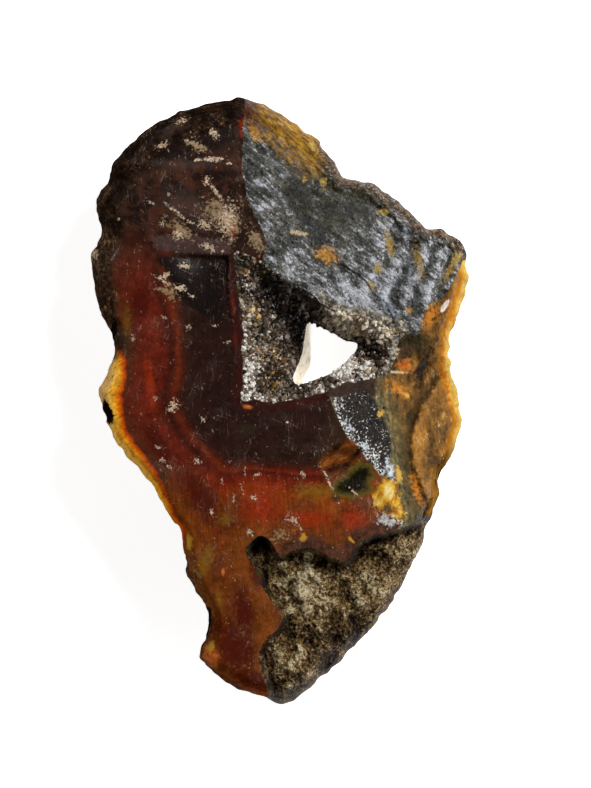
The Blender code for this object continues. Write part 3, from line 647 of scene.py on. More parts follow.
# The blots of each kind: their middle, length, width and angle
BLOT_ROWS: dict[Stain, Rows] = {
    Stain.CREAM: (
        (-16.8, 36.4, 2.1, 1.2, 25), (-9.5, 38.1, 2.1, 1.3, -40), (-14, 39.9, 2.2, 0.9, 25),
        (-9.4, 34.4, 3.4, 1, -2), (-11.9, 34.3, 1.5, 0.6, 5), (-7.3, 33.7, 0.9, 0.6),
        (-13.4, 37, 0.8, 0.5, 20), (-10.4, 31.3, 1.6, 1.3, 50), (-9, 29.6, 4.4, 0.8, -52),
        (-7.5, 26, 5.4, 3.4, 75), (-14.5, 26.7, 5.4, 0.7, -39), (-18.5, 28.2, 1.4, 0.5, -25),
        (-15.9, 29.4, 1, 0.5, -50), (-10.8, 25.1, 2.6, 1.6, -30), (-14.4, 23.6, 2.4, 1.8, 15),
        (-10.1, 21.9, 2.6, 1.3, -20), (-8.1, 21.3, 0.7, 0.6), (-6.9, 22.9, 1.6, 1, 60),
        (-13.6, 19.3, 2.2, 1.2, -20), (-16.3, 17.9, 2, 0.8, 15), (-16, 16.8, 5, 0.5, -28),
        (-14.2, 16.1, 2, 1.1, -15), (-12.6, 15, 1.6, 0.5, -35), (-16.7, 25.3, 1, 0.8, 70),
        (-22.9, 25.8, 0.7, 0.6), (-15.2, -0.7, 2.4, 1.5, 50), (-17.7, 0.4, 0.9, 0.6),
        (-10.9, -2.6, 1.3, 0.7, -50), (-16.4, 11.9, 1.1, 0.5, -30), (-20.9, 9, 1.1, 0.8, 100),
        (-17.1, -6.5, 1.6, 0.7, -10), (-16.6, -8.4, 1, 0.8), (-15.7, -9.4, 1, 0.6, -50),
        (-11.8, -8.5, 1.4, 1, -30), (-8.2, -11.5, 1.1, 0.4, 100), (-9.3, 10.7, 1.3, 0.5, 10),
        (-12.9, 10.6, 1, 0.8), (-7.4, 8.4, 1.4, 0.5, 15), (1, -3, 0.6, 0.5, -40),
        (3.2, -10.3, 1.6, 0.6, -60), (-5.4, -12.4, 1.8, 0.4, -70), (-9.7, -15.7, 1.6, 0.6, 95),
        (-5, -10, 1.8, 0.3, 96), (-6.6, -13.6, 1.6, 0.4, 84), (-3.6, -13.7, 1.4, 0.9, -30),
        (-3.3, -10.4, 1, 0.7, 30), (1.7, -16.8, 2.1, 1.5, -35), (2.9, -18, 1.5, 0.4, -50),
        (-4.3, -18.6, 1.4, 0.9, -50), (6.9, -11.4, 6, 0.5, -64), (10.5, -12.9, 2.4, 0.6, -42),
        (2.6, 23.9, 3.6, 0.7, -8), (-26.5, 20.8, 1.4, 2), (16.2, 4.2, 3.6, 0.45, -4),
        (15.9, 6.6, 2.6, 1.5, 40),
    ),
    Stain.ORANGE: (
        (6.6, 20.8, 4.2, 2.6, -20), (21.5, 12.2, 5, 2.2, 65), (18.4, 13, 1.6, 0.9, 80),
        (19.4, -12.3, 6.5, 1.8, 105), (17, 1.6, 5, 1.9, -32), (17.8, 4.9, 3.4, 2.6, 20),
        (-4.6, -0.8, 2.1, 0.8, -8), (-3.6, 38.2, 4.2, 1.5, -58), (-8.1, -24.2, 1.6, 0.8, 90),
        (-9.8, -36.4, 4, 3, 120), (24.9, 10.5, 9, 1.4, 104), (24, 1.6, 8, 1.2, 100),
    ),
    Stain.YELLOW: (
        (4.6, 36.2, 2.6, 1.2, -50), (6.2, 31, 2.3, 1.2, 100), (3.4, 31.5, 1.3, 1, 100),
        (14.7, 26.9, 2.2, 1.1, -15), (15.6, 21.9, 2.6, 1, 110), (14, 18.9, 2, 1.5, 60),
        (13.1, 16.4, 1.8, 0.8, -50), (25.2, 20.4, 2.6, 1.4, 60), (14.3, -1.7, 1.7, 1.2, 60),
        (3.3, -19.3, 1.6, 1.3, 60), (10.1, -19.7, 1.9, 0.6, -50), (-9.9, -34.9, 2.2, 1.3, 60),
        (24.6, 0.4, 6, 1, 105), (16.9, -10.4, 3.2, 1.4, 100), (-12.9, -20, 3, 1.4, 90),
        (17.8, 1, 2.6, 0.8, -32),
    ),
    Stain.OCHRE: (
        (15.6, 22.6, 5.6, 1.5, 104), (19.7, 20, 6.6, 1.9, 100), (24.2, 18.6, 6, 1.6, 62),
        (-3.9, 20.1, 3, 0.9, -15), (5.2, -12.8, 10, 3.4, -4), (-8, -16.6, 4, 3), (-10.6, -22.6, 7, 3.2, 75),
        (-8.6, -28.2, 5, 1.4, 98), (-21.6, 12, 7, 2, 84),
    ),
    Stain.OLIVE: (
        (10.3, 29.2, 7, 4.4, -30), (3, 27.5, 8, 3, -50), (8.4, 22.6, 5, 2.4, -40), (19.4, 8.8, 9, 6, -24),
        (18.1, -2.3, 1.8, 3), (-24.5, 24, 16, 3.4, 88), (14.6, 6, 4, 3), (7.9, -13.6, 2.8, 2),
        (1.2, 33.4, 4.4, 2.4, -20), (-5, -4, 4.4, 3, 20),
    ),
    Stain.PALE: (
        (23.5, 13.6, 2.6, 0.9, 55), (15.6, -9.6, 3.8, 1.2, 106), (15.3, -17, 3.6, 2, -12),
        (12.1, -6.4, 1.3, 1.1), (9.9, -3.7, 2, 0.9, -25), (15.4, 13.4, 7, 2, -52), (17.8, 24, 4, 1.3, 100),
    ),
    Stain.DARK: (
        (-24.5, -1.5, 4.4, 1.5, 108), (-25.3, 3.4, 1.2, 0.8), (-23.7, 9.6, 4.8, 1, 85),
        (-10.4, -31.6, 5, 1.6, 85), (22.3, 25, 3, 0.8, -20), (20.4, 5.3, 5.6, 1.6, 60),
        (16.6, 8.4, 3.4, 0.9, -40),
    ),
    Stain.INK: (
        (0.7, 35.9, 6, 2.2, -22), (5, 24.6, 9, 2.2, -42), (18.9, 16.4, 6, 1.4, 98),
        (20.4, 25, 3.6, 1.2, 110), (7.6, 17.4, 4, 1, -35),
    ),
    Stain.RED: (
        (-6.7, 13.6, 6.4, 0.9, 93), (-6.3, 8.8, 3.6, 0.8, 96), (17.4, 5.4, 1.6, 0.9),
    ),
    Stain.MAROON: (
        (-6.6, -34.8, 14, 8, 112), (-5.2, -30, 10, 4.6, 95), (-17.4, -6, 9, 3, -58), (-20, 14, 5, 9, -20),
        # The last maroon blot darkens the foot of the lobe: painted shadow
        (-3.4, -24, 3, 8, 15), (-11, -13.6, 11, 6, -52), (-4, -39.6, 10, 4.6, -28),
    ),
    Stain.EMBER: (
        (-2.6, -14.6, 9, 8.5), (10.6, -16.8, 5.4, 4.6), (-6.7, 24.5, 3.8, 1.6, 80), (-4.2, 39, 4.6, 4.4),
        (17.6, 5.1, 2.4, 1.8), (4, -16.5, 9, 3.4, -5), (-18.4, 2.4, 10, 2, 96),
    ),
    Stain.HAZE: (
        (-23.2, 35.5, 6, 3.4, 65), (-13.6, 33.6, 17, 1.8, -5), (-15.5, 38.5, 8, 3.4, 30),
        (-14, 28, 12, 7, -30),
    ),
    Stain.DUST: (
        (-7, 25.3, 9, 4.5, 75), (-9.5, 27, 7, 5, -50), (-16, 15.5, 6, 2.5, -30), (-12, 36.5, 5, 2.2, -30),
        (-14, 24.4, 9, 2.6, -34), (0, -19, 7, 3, 10), (-3.4, 23.2, 7, 3.4, -62),
        (-11.7, -24.5, 6, 1.6, -68),
    ),
}
BLOTS = {kind: tuple(Blot(*row) for row in rows) for kind, rows in BLOT_ROWS.items()}


@dataclass(frozen=True)
class Coat:
    """How a finish shows one kind of mark."""

    kind: Stain
    tint: tuple[int, int, int]
    # How far a rough noise moves its edges, and how softly they end
    ragged: float
    edge: float
    # How far it covers what is under it
    strength: float = 1.0
    # The sizes and strengths of the noises that vary its tint
    noises: Rows = ()


Coats = tuple[Coat, ...]


class Patch(Enum):
    """Clear-edged patches of the face, each by its outline."""

    GLITTER = (
        (7.2, 0.5), (12.2, 1.9), (14, -0.4), (15.8, -4.8), (16, -7.7), (15, -10.4), (14.2, -11.1),
        (11.5, -7.7), (9.7, -5.5), (8.5, -3.7), (7.8, -1.5),
    )
    SCOOP = (
        (5.1, -8.7), (7.1, -6.4), (10, -5.1), (11.7, -6.7), (11.4, -8.4), (9.2, -9.8), (7.8, -11.2),
        (6.4, -11.2),
    )
    POOL = (
        (9.2, -9.8), (11.4, -8.1), (13.1, -8.7), (14.2, -11), (13.1, -11.5), (13.5, -12.7), (12.8, -13.4),
        (10.2, -14.1), (8.5, -13.8), (7.1, -13.4), (7.1, -11.5),
    )
    YOLK = (
        (13.1, -12.7), (15, -11), (16.4, -11.5), (17.1, -14.1), (17.8, -16.2), (16.8, -17), (15, -15.8),
        (13.5, -14.8),
    )
    AMBER = (
        (40, 20.5), (27.1, 20.5), (26.1, 19.9), (25, 17.6), (23.8, 15.6), (22.4, 13.9), (20.5, 12.9),
        (20.1, 9.8), (19.1, 9.2), (17.7, 9.6), (17, 8.9), (16.1, 5.3), (15.1, 3.3), (14, 2.6), (16.1, -4.5),
        (17.1, -9.8), (18.3, -16.4), (18, -18.5), (40, -18.5),
    )
    VIOLET = ((-18.0, 23.4), (-14.0, 23.9), (-6.9, 22.6), (-6.9, 20.9), (-12.9, 21.0), (-18.2, 21.6))


# Materials
QUARTZ_IOR = 1.54
# The size of the crystal faces that glint
GLINT_SIZE = 0.26
BLACK = (0.0, 0.0, 0.0, 1.0)
WHITE = (1.0, 1.0, 1.0, 1.0)


def paint(red: int, green: int, blue: int) -> tuple[float, float, float, float]:
    """A colour as a screen shows it, 0 to 255, as the linear one that a shader takes."""
    linear = [((level / 255 + 0.055) / 1.055) ** 2.4 for level in (red, green, blue)]
    return (linear[0], linear[1], linear[2], 1.0)


@dataclass
class Signal:
    """A number on its way through a material's nodes. Arithmetic on it adds Math nodes."""

    wiring: "Wiring"
    socket: Socket

    def __add__(self, other: "Signal | float") -> "Signal":
        """This plus another."""
        return self.wiring.math("ADD", self, other)

    def __sub__(self, other: "Signal | float") -> "Signal":
        """This less another."""
        return self.wiring.math("SUBTRACT", self, other)

    def __rsub__(self, other: float) -> "Signal":
        """Another less this."""
        return self.wiring.math("SUBTRACT", other, self)

    def __mul__(self, other: "Signal | float") -> "Signal":
        """This times another."""
        return self.wiring.math("MULTIPLY", self, other)

    __radd__ = __add__
    __rmul__ = __mul__


class NodeTree:
    """A tree of shader nodes, and the one way in which nodes are added to it."""

    def __init__(self, tree: bpy.types.NodeTree) -> None:
        """Empties the tree."""
        self.tree = tree
        self.tree.nodes.clear()

    def node(self, kind: str, settings: dict[str, object], values: Values) -> bpy.types.Node:
        """Adds one node.

        Args:
            kind: the node's Blender type.
            settings: its settings; `stops` holds a ramp's stops.
            values: for each input by name or number, a signal, a socket, a number or a colour.

        Returns:
            The node.
        """
        made = self.tree.nodes.new(kind)
        for key, setting in settings.items():
            if key == "stops":
                elements = made.color_ramp.elements
                while len(elements) < len(setting):
                    elements.new(0.5)
                for element, (place, *colour) in zip(elements, setting):
                    element.position = place
                    element.color = paint(*colour)
            else:
                setattr(made, key, setting)
        for key, value in values.items():
            if isinstance(value, Signal):
                value = value.socket
            if isinstance(value, Socket):
                self.tree.links.new(value, made.inputs[key])
            else:
                made.inputs[key].default_value = value
        return made


class Wiring(NodeTree):
    """The nodes of one material, and the ways in which its finish joins them."""

    def __init__(self, name: str) -> None:
        """Starts an empty material of this name."""
        self.material = bpy.data.materials.new(name)
        self.material.use_nodes = True
        super().__init__(self.material.node_tree)
        here = self.node("ShaderNodeTexCoord", {}, {}).outputs["Object"]
        self.place = self.vector("SCALE", {"Vector": here, "Scale": 1 / MM})

    def vector(self, operation: str, values: Values) -> Socket:
        """The outcome of one Vector Math node."""
        return self.node("ShaderNodeVectorMath", {"operation": operation}, values).outputs["Vector"]

    def math(self, operation: str, first: Signal | float, second: Signal | float = 0.0) -> Signal:
        """The outcome of one Math node."""
        made = self.node("ShaderNodeMath", {"operation": operation}, {0: first, 1: second})
        return Signal(self, made.outputs[0])

    def field(self, name: str) -> Signal:
        """A field that the mesh holds at its points."""
        made = self.node("ShaderNodeAttribute", {"attribute_name": name}, {})
        return Signal(self, made.outputs["Fac"])

    @cached_property
    def x(self) -> Signal:
        """The place along X in millimetres."""
        return Signal(self, self.node("ShaderNodeSeparateXYZ", {}, {"Vector": self.place}).outputs["X"])

    @cached_property
    def y(self) -> Signal:
        """The place along Y in millimetres."""
        return Signal(self, self.node("ShaderNodeSeparateXYZ", {}, {"Vector": self.place}).outputs["Y"])

    def stretched(self, across: float, along: float, angle: float = 0.0) -> Socket:
        """The place, turned by an angle and drawn out so that a texture on it is longer one way.

        Args:
            across: how many times wider a texture's grain is along its own X.
            along: how many times longer it is along its own Y.
            angle: how far the grain is turned, in degrees.

        Returns:
            The vector to give to a texture.
        """
        turned = self.node(
            "ShaderNodeVectorRotate",
            {"rotation_type": "Z_AXIS"},
            {"Vector": self.place, "Angle": math.radians(-angle)},
        ).outputs["Vector"]
        return self.vector("MULTIPLY", {0: turned, 1: (1 / across, 1 / along, 1.0)})

    def noise(self, size: float, detail: float = 3.0, vector: Socket | None = None) -> Signal:
        """Cloudy noise of a size in millimetres, about 0 and mostly from -1 to 1."""
        values = {"Vector": vector or self.place, "Scale": 1 / size, "Detail": detail, "Roughness": 0.6}
        made = self.node("ShaderNodeTexNoise", {}, values)
        return Signal(self, made.outputs["Fac"]) * 4.0 - 2.0

    def grains(self, size: float, vector: Socket | None = None) -> tuple[Signal, Signal]:
        """Random cells of a size in millimetres: each one's own number, and the distance to its middle."""
        values = {"Vector": vector or self.place, "Scale": 1 / size}
        made = self.node("ShaderNodeTexVoronoi", {}, values)
        parts = self.node("ShaderNodeSeparateColor", {}, {"Color": made.outputs["Color"]})
        return Signal(self, parts.outputs[0]), Signal(self, made.outputs["Distance"])

    def step(self, signal: Signal, low: float, high: float) -> Signal:
        """An ease from 0 to 1 as the signal goes from low to high."""
        values = {"Value": signal, "From Min": low, "From Max": high}
        made = self.node("ShaderNodeMapRange", {"interpolation_type": "SMOOTHSTEP"}, values)
        return Signal(self, made.outputs["Result"])

    @cached_property
    def rough(self) -> Signal:
        """A rough noise that makes the edges of marks ragged."""
        return self.noise(0.55, 4.0)

    def ramp(self, signal: Signal, stops: Stops) -> Socket:
        """The colour that a ramp gives for a signal."""
        return self.node("ShaderNodeValToRGB", {"stops": stops}, {"Fac": signal}).outputs["Color"]

    def mix(self, factor: Signal | float, first: object, second: object) -> Socket:
        """The first colour, or the second where the factor is 1."""
        made = self.node("ShaderNodeMix", {"data_type": "RGBA"}, {0: factor, 6: first, 7: second})
        return made.outputs[2]

    def lighten(self, colour: object, amount: Signal | float) -> Socket:
        """A colour times an amount."""
        if isinstance(colour, tuple):
            colour = colour[:3]
        return self.vector("SCALE", {"Vector": colour, "Scale": amount})

    def varied(self, colour: object, *noises: tuple[float, float]) -> Socket:
        """A colour made lighter and darker by noises, each given by its size and its strength."""
        amount: Signal | float = 1.0
        for size, strength in noises:
            amount = self.noise(size) * strength + amount
        return self.lighten(colour, amount)

    def bump(self, height: Signal, normal: Socket | None = None) -> Socket:
        """The surface's normal over a height in millimetres."""
        values: Values = {"Height": height, "Distance": MM}
        if normal:
            values["Normal"] = normal
        return self.node("ShaderNodeBump", {}, values).outputs["Normal"]

    def glints(self, size: float, tilt: Signal | float) -> Socket:
        """A normal that each small crystal face of this size tilts in its own direction."""
        cells = self.node("ShaderNodeTexVoronoi", {}, {"Vector": self.place, "Scale": 1 / size})
        middle = self.vector("SUBTRACT", {0: cells.outputs["Color"], 1: (0.5, 0.5, 0.5)})
        normal = self.node("ShaderNodeNewGeometry", {}, {}).outputs["Normal"]
        summed = self.vector("ADD", {0: normal, 1: self.vector("SCALE", {"Vector": middle, "Scale": tilt})})
        return self.vector("NORMALIZE", {0: summed})

    def coated(self, colour: object, coats: Iterable[Coat]) -> Socket:
        """A colour with kinds of mark laid over it, each over the ones before it."""
        for coat in coats:
            mask = self.step(self.field(coat.kind.value) + self.rough * coat.ragged, 0.0, coat.edge)
            tint = self.varied(paint(*coat.tint), *coat.noises)
            colour = self.mix(mask * coat.strength, colour, tint)
        return colour

    def finish(
        self,
        colour: object,
        roughness: Signal | float,
        normal: object,
        specular: float = 0.5,
        **others: object,
    ) -> None:
        """Joins the surface shader.

        Args:
            colour: the base colour.
            roughness: the roughness.
            normal: the normal, or None for the mesh's own.
            specular: how strongly it mirrors.
            others: further inputs by name, with _ for a space.
        """
        values: Values = {"Base Color": colour, "Roughness": roughness, "Specular IOR Level": specular}
        if normal is not None:
            values["Normal"] = normal
        for name, value in others.items():
            values[name.replace("_", " ")] = value
        shader = self.node("ShaderNodeBsdfPrincipled", {}, values)
        self.node("ShaderNodeOutputMaterial", {}, {"Surface": shader.outputs["BSDF"]})


@dataclass(frozen=True)
class Finish:
    """The look of one material, which each kind of finish dresses in its own way."""

    name: str

    def material(self) -> bpy.types.Material:
        """Builds the material."""
        w = Wiring(self.name)
        self.dress(w)
        return w.material

    def dress(self, w: Wiring) -> None:
        """Wires the material's nodes."""
        raise NotImplementedError


@dataclass(frozen=True)
class Scoop:
    """The amber scoop, the dark green pool and the yellow patch by them."""

    amber: Stops = ((0.1, 20, 10, 4), (0.5, 96, 50, 16), (0.8, 156, 90, 34), (1, 200, 150, 92))
    yellow: Stops = (
        (0.05, 84, 60, 20), (0.3, 156, 98, 16), (0.55, 190, 142, 32), (0.8, 204, 170, 74),
        (1, 210, 192, 136),
    )

    def over(self, w: Wiring, colour: object) -> Socket:
        """A colour with the three laid over it."""
        stripes = w.noise(1.6, 4.0, w.stretched(0.8, 1.8, -62)) * 0.5 + 0.36
        scoop = w.step(w.field("scoop") + w.rough * 0.3, -0.1, 0.4)
        colour = w.mix(scoop * 0.9, colour, w.ramp(stripes, self.amber))
        depth = w.step(w.field("pool") + w.rough * 0.3, 0.3, 1.5)
        green = w.mix(depth, paint(84, 72, 28), paint(16, 17, 9))
        colour = w.mix(w.step(w.field("pool") + w.noise(0.9) * 0.3, -0.1, 0.6), colour, green)
        patchy = w.noise(1.6, 4.0, w.stretched(0.9, 1.5, -30)) * 0.9 + 0.46
        yolk = w.step(w.field("yolk") + w.rough * 0.8, -0.5, 0.3)
        return w.mix(yolk, colour, w.ramp(patchy, self.yellow))


@dataclass(frozen=True)
class BandedChalcedony(Finish):
    """Dark chalcedony, banded in step with the outline and the hollow, with a painted glowing thin edge."""

    gloss: float
    dull: float
    specular: float
    # The bands' colours from the outline, 0, to the hollow, 1
    top_bands: Stops = (
        (0, 38, 28, 18), (0.1, 46, 32, 21), (0.25, 58, 33, 22), (0.45, 64, 35, 24), (0.65, 52, 31, 22),
        (0.85, 44, 27, 20), (1, 40, 24, 18),
    )
    middle_bands: Stops = (
        (0, 52, 36, 24), (0.06, 66, 44, 28), (0.12, 72, 38, 20), (0.2, 88, 30, 15), (0.34, 98, 31, 16),
        (0.41, 86, 26, 14), (0.445, 58, 20, 12), (0.475, 70, 24, 13), (0.51, 98, 36, 16),
        (0.545, 70, 26, 14), (0.58, 44, 22, 16), (0.66, 40, 21, 16), (0.92, 36, 18, 14), (1, 52, 20, 15),
    )
    foot_bands: Stops = (
        (0, 120, 62, 20), (0.1, 104, 50, 14), (0.2, 98, 42, 10), (0.3, 116, 54, 12), (0.36, 122, 46, 10),
        (0.41, 110, 34, 10), (0.455, 92, 26, 11), (0.475, 70, 22, 11), (0.495, 108, 34, 11),
        (0.52, 72, 24, 12), (0.56, 44, 22, 14), (0.62, 38, 20, 13), (0.9, 34, 19, 14), (1, 48, 26, 18),
    )
    # The painted glowing colour of the thin edge, from its inner side, 0, to the outline, 1
    glow_colours: Stops = (
        (0, 156, 46, 8), (0.12, 206, 104, 12), (0.35, 226, 156, 36), (0.7, 230, 176, 70),
        (1, 214, 172, 104),
    )
    skin_colours: Stops = (
        (0.1, 15, 9, 6), (0.45, 40, 26, 17), (0.75, 78, 58, 38), (1, 146, 120, 84),
    )
    deep_coats: Coats = (
        Coat(Stain.OLIVE, (44, 32, 20), 0.3, 0.8),
        Coat(Stain.OCHRE, (122, 84, 20), 0.4, 0.9, 0.8, ((0.5, 0.3),)),
        Coat(Stain.MAROON, (68, 17, 8), 0.4, 0.7, 0.9, ((0.8, 0.35),)),
        Coat(Stain.EMBER, (142, 42, 12), 0.45, 0.9, 0.9, ((0.5, 0.35),)),
        Coat(Stain.ORANGE, (188, 98, 42), 0.35, 0.8, 1.0, ((0.5, 0.4),)),
        Coat(Stain.RED, (92, 16, 9), 0.6, 0.8, 0.8, ((0.3, 0.5),)),
    )
    thin_coats: Coats = (
        Coat(Stain.PALE, (172, 172, 170), 1.3, 0.7, 0.85, ((0.4, 0.9),)),
        Coat(Stain.YELLOW, (186, 136, 48), 0.35, 0.6, 0.9),
    )
    # Fine scratches: how far they are drawn out each way, and their angle
    scratches: Rows = ((0.2, 2.6, -24), (0.2, 2.2, 64), (0.18, 3.5, 4))
    # Specks: their size, the share of cells without one, and the angle they are drawn out at
    specks: Rows = ((0.6, 0.90, 24), (0.34, 0.91, -60), (0.4, 0.91, 8))

    def bands(self, w: Wiring) -> Socket:
        """The colour of the bands: dark at the top, red in the middle and orange at the foot."""
        band = w.field("band") + w.noise(7.0, 2.0) * 0.018 + w.noise(1.6, 3.0) * 0.004
        top = w.ramp(band, self.top_bands)
        middle = w.ramp(band, self.middle_bands)
        foot = w.ramp(band, self.foot_bands)
        shade = w.step(w.noise(2.4, 5.0), -0.3, 0.25) * w.step(w.y, 18.0, 28.0)
        top = w.mix(shade * 0.85, top, paint(19, 11, 9))
        top = w.mix(w.step(w.y, 33.0, 37.0) * 0.65, top, paint(16, 9, 7))
        colour = w.mix(w.step(w.y + w.noise(6.0) * 1.2, 15.0, 26.0), middle, top)
        colour = w.mix(w.step(w.y - w.x * 0.39 + 5.0, 1.5, -4.0), colour, foot)
        across = w.node("ShaderNodeCombineXYZ", {}, {"X": band * 46.0}).outputs[0]
        colour = w.lighten(colour, 1.0 + w.noise(0.5, 2.0, across) * 0.12)
        streaks = w.noise(0.8, 3.0, w.stretched(0.4, 3.6, 4))
        low = w.step(w.y, -8.5, -11.5) * w.step(w.y, -24.0, -19.0)
        colour = w.lighten(colour, 1.0 + streaks * (low * 0.34 + 0.06))
        return w.varied(colour, (0.3, 0.24), (1.1, 0.38), (3.5, 0.34))

    def clouds(self, w: Wiring, colour: object) -> object:
        """Clouds of other colours in the stone, and the patches round the scar and the scoop."""
        colour = w.coated(colour, self.deep_coats)
        lip = w.step(w.field("rind") + w.noise(1.2, 3.0) * 0.6, -2.6, -0.9) * w.step(w.x, -2.0, 1.5)
        colour = w.mix(lip * 0.8, colour, w.varied(paint(56, 38, 31), (0.6, 0.9), (2.2, 0.9)))
        shoulder = w.step(w.field("shoulder") + w.noise(2.0) * 0.5, 0.0, 2.5) * w.step(w.y, -13.0, -9.0)
        colour = w.mix(shoulder * 0.4, colour, paint(58, 40, 20))
        scar = w.step(w.field("scar") + w.noise(1.5) * 0.5, 0.0, 1.2)
        colour = w.mix(scar * 0.96, colour, paint(17, 9, 8))
        violet = w.varied(paint(70, 52, 50), (0.4, 0.25), (1.6, 0.3))
        colour = w.mix(w.step(w.field("violet") + w.rough * 0.25, -0.1, 0.3) * 0.8, colour, violet)
        return w.coated(Scoop().over(w, colour), self.thin_coats)

    def edge(self, w: Wiring, colour: object) -> object:
        """The thin edge, painted orange and yellow as light shining through it, and the weathered skin along
        the outline.
        """
        depth = w.field("glow") + w.noise(2.2, 3.0) * 0.25
        glow = w.ramp(w.step(depth, 0.0, 2.6), self.glow_colours)
        cracks = w.noise(0.8, 2.0, w.stretched(3.0, 0.4, 32))
        glow = w.mix(w.step(cracks, 0.4, 0.8) * 0.8, glow, paint(78, 34, 10))
        colour = w.mix(w.step(depth, -0.12, 0.25), colour, w.varied(glow, (0.4, 0.3), (1.6, 0.3)))
        tone = w.noise(0.7, 5.0) * 0.46 + w.noise(3.0, 3.0) * 0.34 + w.step(w.y, 38.0, 16.0) * 0.24 + 0.26
        mask = w.step(w.field("skin") + w.noise(1.6, 4.0) * 0.7, -0.3, 1.1)
        return w.mix(mask * 0.9, colour, w.ramp(tone, self.skin_colours))

    def dust(self, w: Wiring, colour: object) -> tuple[object, Signal]:
        """A hazy film with painted sheen, powder, scratches and specks over the face.

        Args:
            w: the material's wiring.
            colour: the colour under them.

        Returns:
            The colour with them, and how much they dull the gloss.
        """
        # A hazy film that both dulls the gloss and lightens the colour: partly a dull film, partly painted
        # sheen
        haze = w.step(w.noise(4.0, 5.0), 0.0, 0.8) * 0.08 * w.step(w.field("scar"), 0.3, 0.0)
        haze = haze + w.step(w.field("haze") + w.noise(1.2, 4.0) * 0.7, 0.0, 1.0) * 0.18
        colour = w.mix(haze, colour, paint(108, 88, 80))
        powder = w.step(w.field("dust") + w.noise(0.45, 5.0) * 0.8 + w.noise(2.5) * 0.3, 0.3, 1.0) * 0.85
        colour = w.mix(powder, colour, paint(146, 120, 82))
        patchy = w.step(w.noise(4.0, 3.0), -0.4, 0.7)
        marks: Signal | float = 0.0
        for across, along, angle in self.scratches:
            strokes = w.noise(0.9, 3.0, w.stretched(across, along, angle))
            marks = w.step(strokes, 0.4, 1.0) * patchy * 0.4 + marks
        thick = w.step(w.noise(3.0, 4.0), -0.4, 0.7) * w.step(w.rough, -1.0, 0.4)
        for size, bare, angle in self.specks:
            number, distance = w.grains(size, w.stretched(0.6, 1.7, angle))
            near = w.step(distance + w.rough * 0.25, 0.36, 0.10)
            marks = marks + w.step(number, bare, bare + 0.04) * near * thick
        marks = w.math("MINIMUM", marks, 1.0)
        dull = w.math("MINIMUM", haze * 1.5 + powder + marks, 1.0)
        return w.mix(marks, colour, paint(168, 138, 118)), dull

    def dress(self, w: Wiring) -> None:
        """Wires the material's nodes."""
        colour, dull = self.dust(w, self.edge(w, self.clouds(w, self.bands(w))))
        colour = w.coated(colour, (Coat(Stain.DARK, (16, 11, 8), 0.3, 0.2),))
        cream = w.step(w.field("cream") + w.noise(0.34, 5.0) * 1.1, 0.2, 0.55)
        pale = w.mix(w.step(w.noise(0.3, 3.0), -0.6, 0.6), paint(126, 98, 72), paint(214, 188, 156))
        colour = w.mix(cream * 0.92, colour, pale)
        dull = w.math("MAXIMUM", dull, cream)
        roughness = dull * self.dull + (1.0 - dull) * self.gloss + w.step(w.noise(3.0, 4.0), -0.2, 1.5) * 0.08
        height = w.noise(9.0, 1.0) * 0.05 + w.noise(1.2, 3.0) * 0.004 + w.noise(0.5, 3.0) * dull * 0.02
        w.finish(colour, roughness, w.bump(height + cream * 0.05), self.specular, IOR=QUARTZ_IOR)


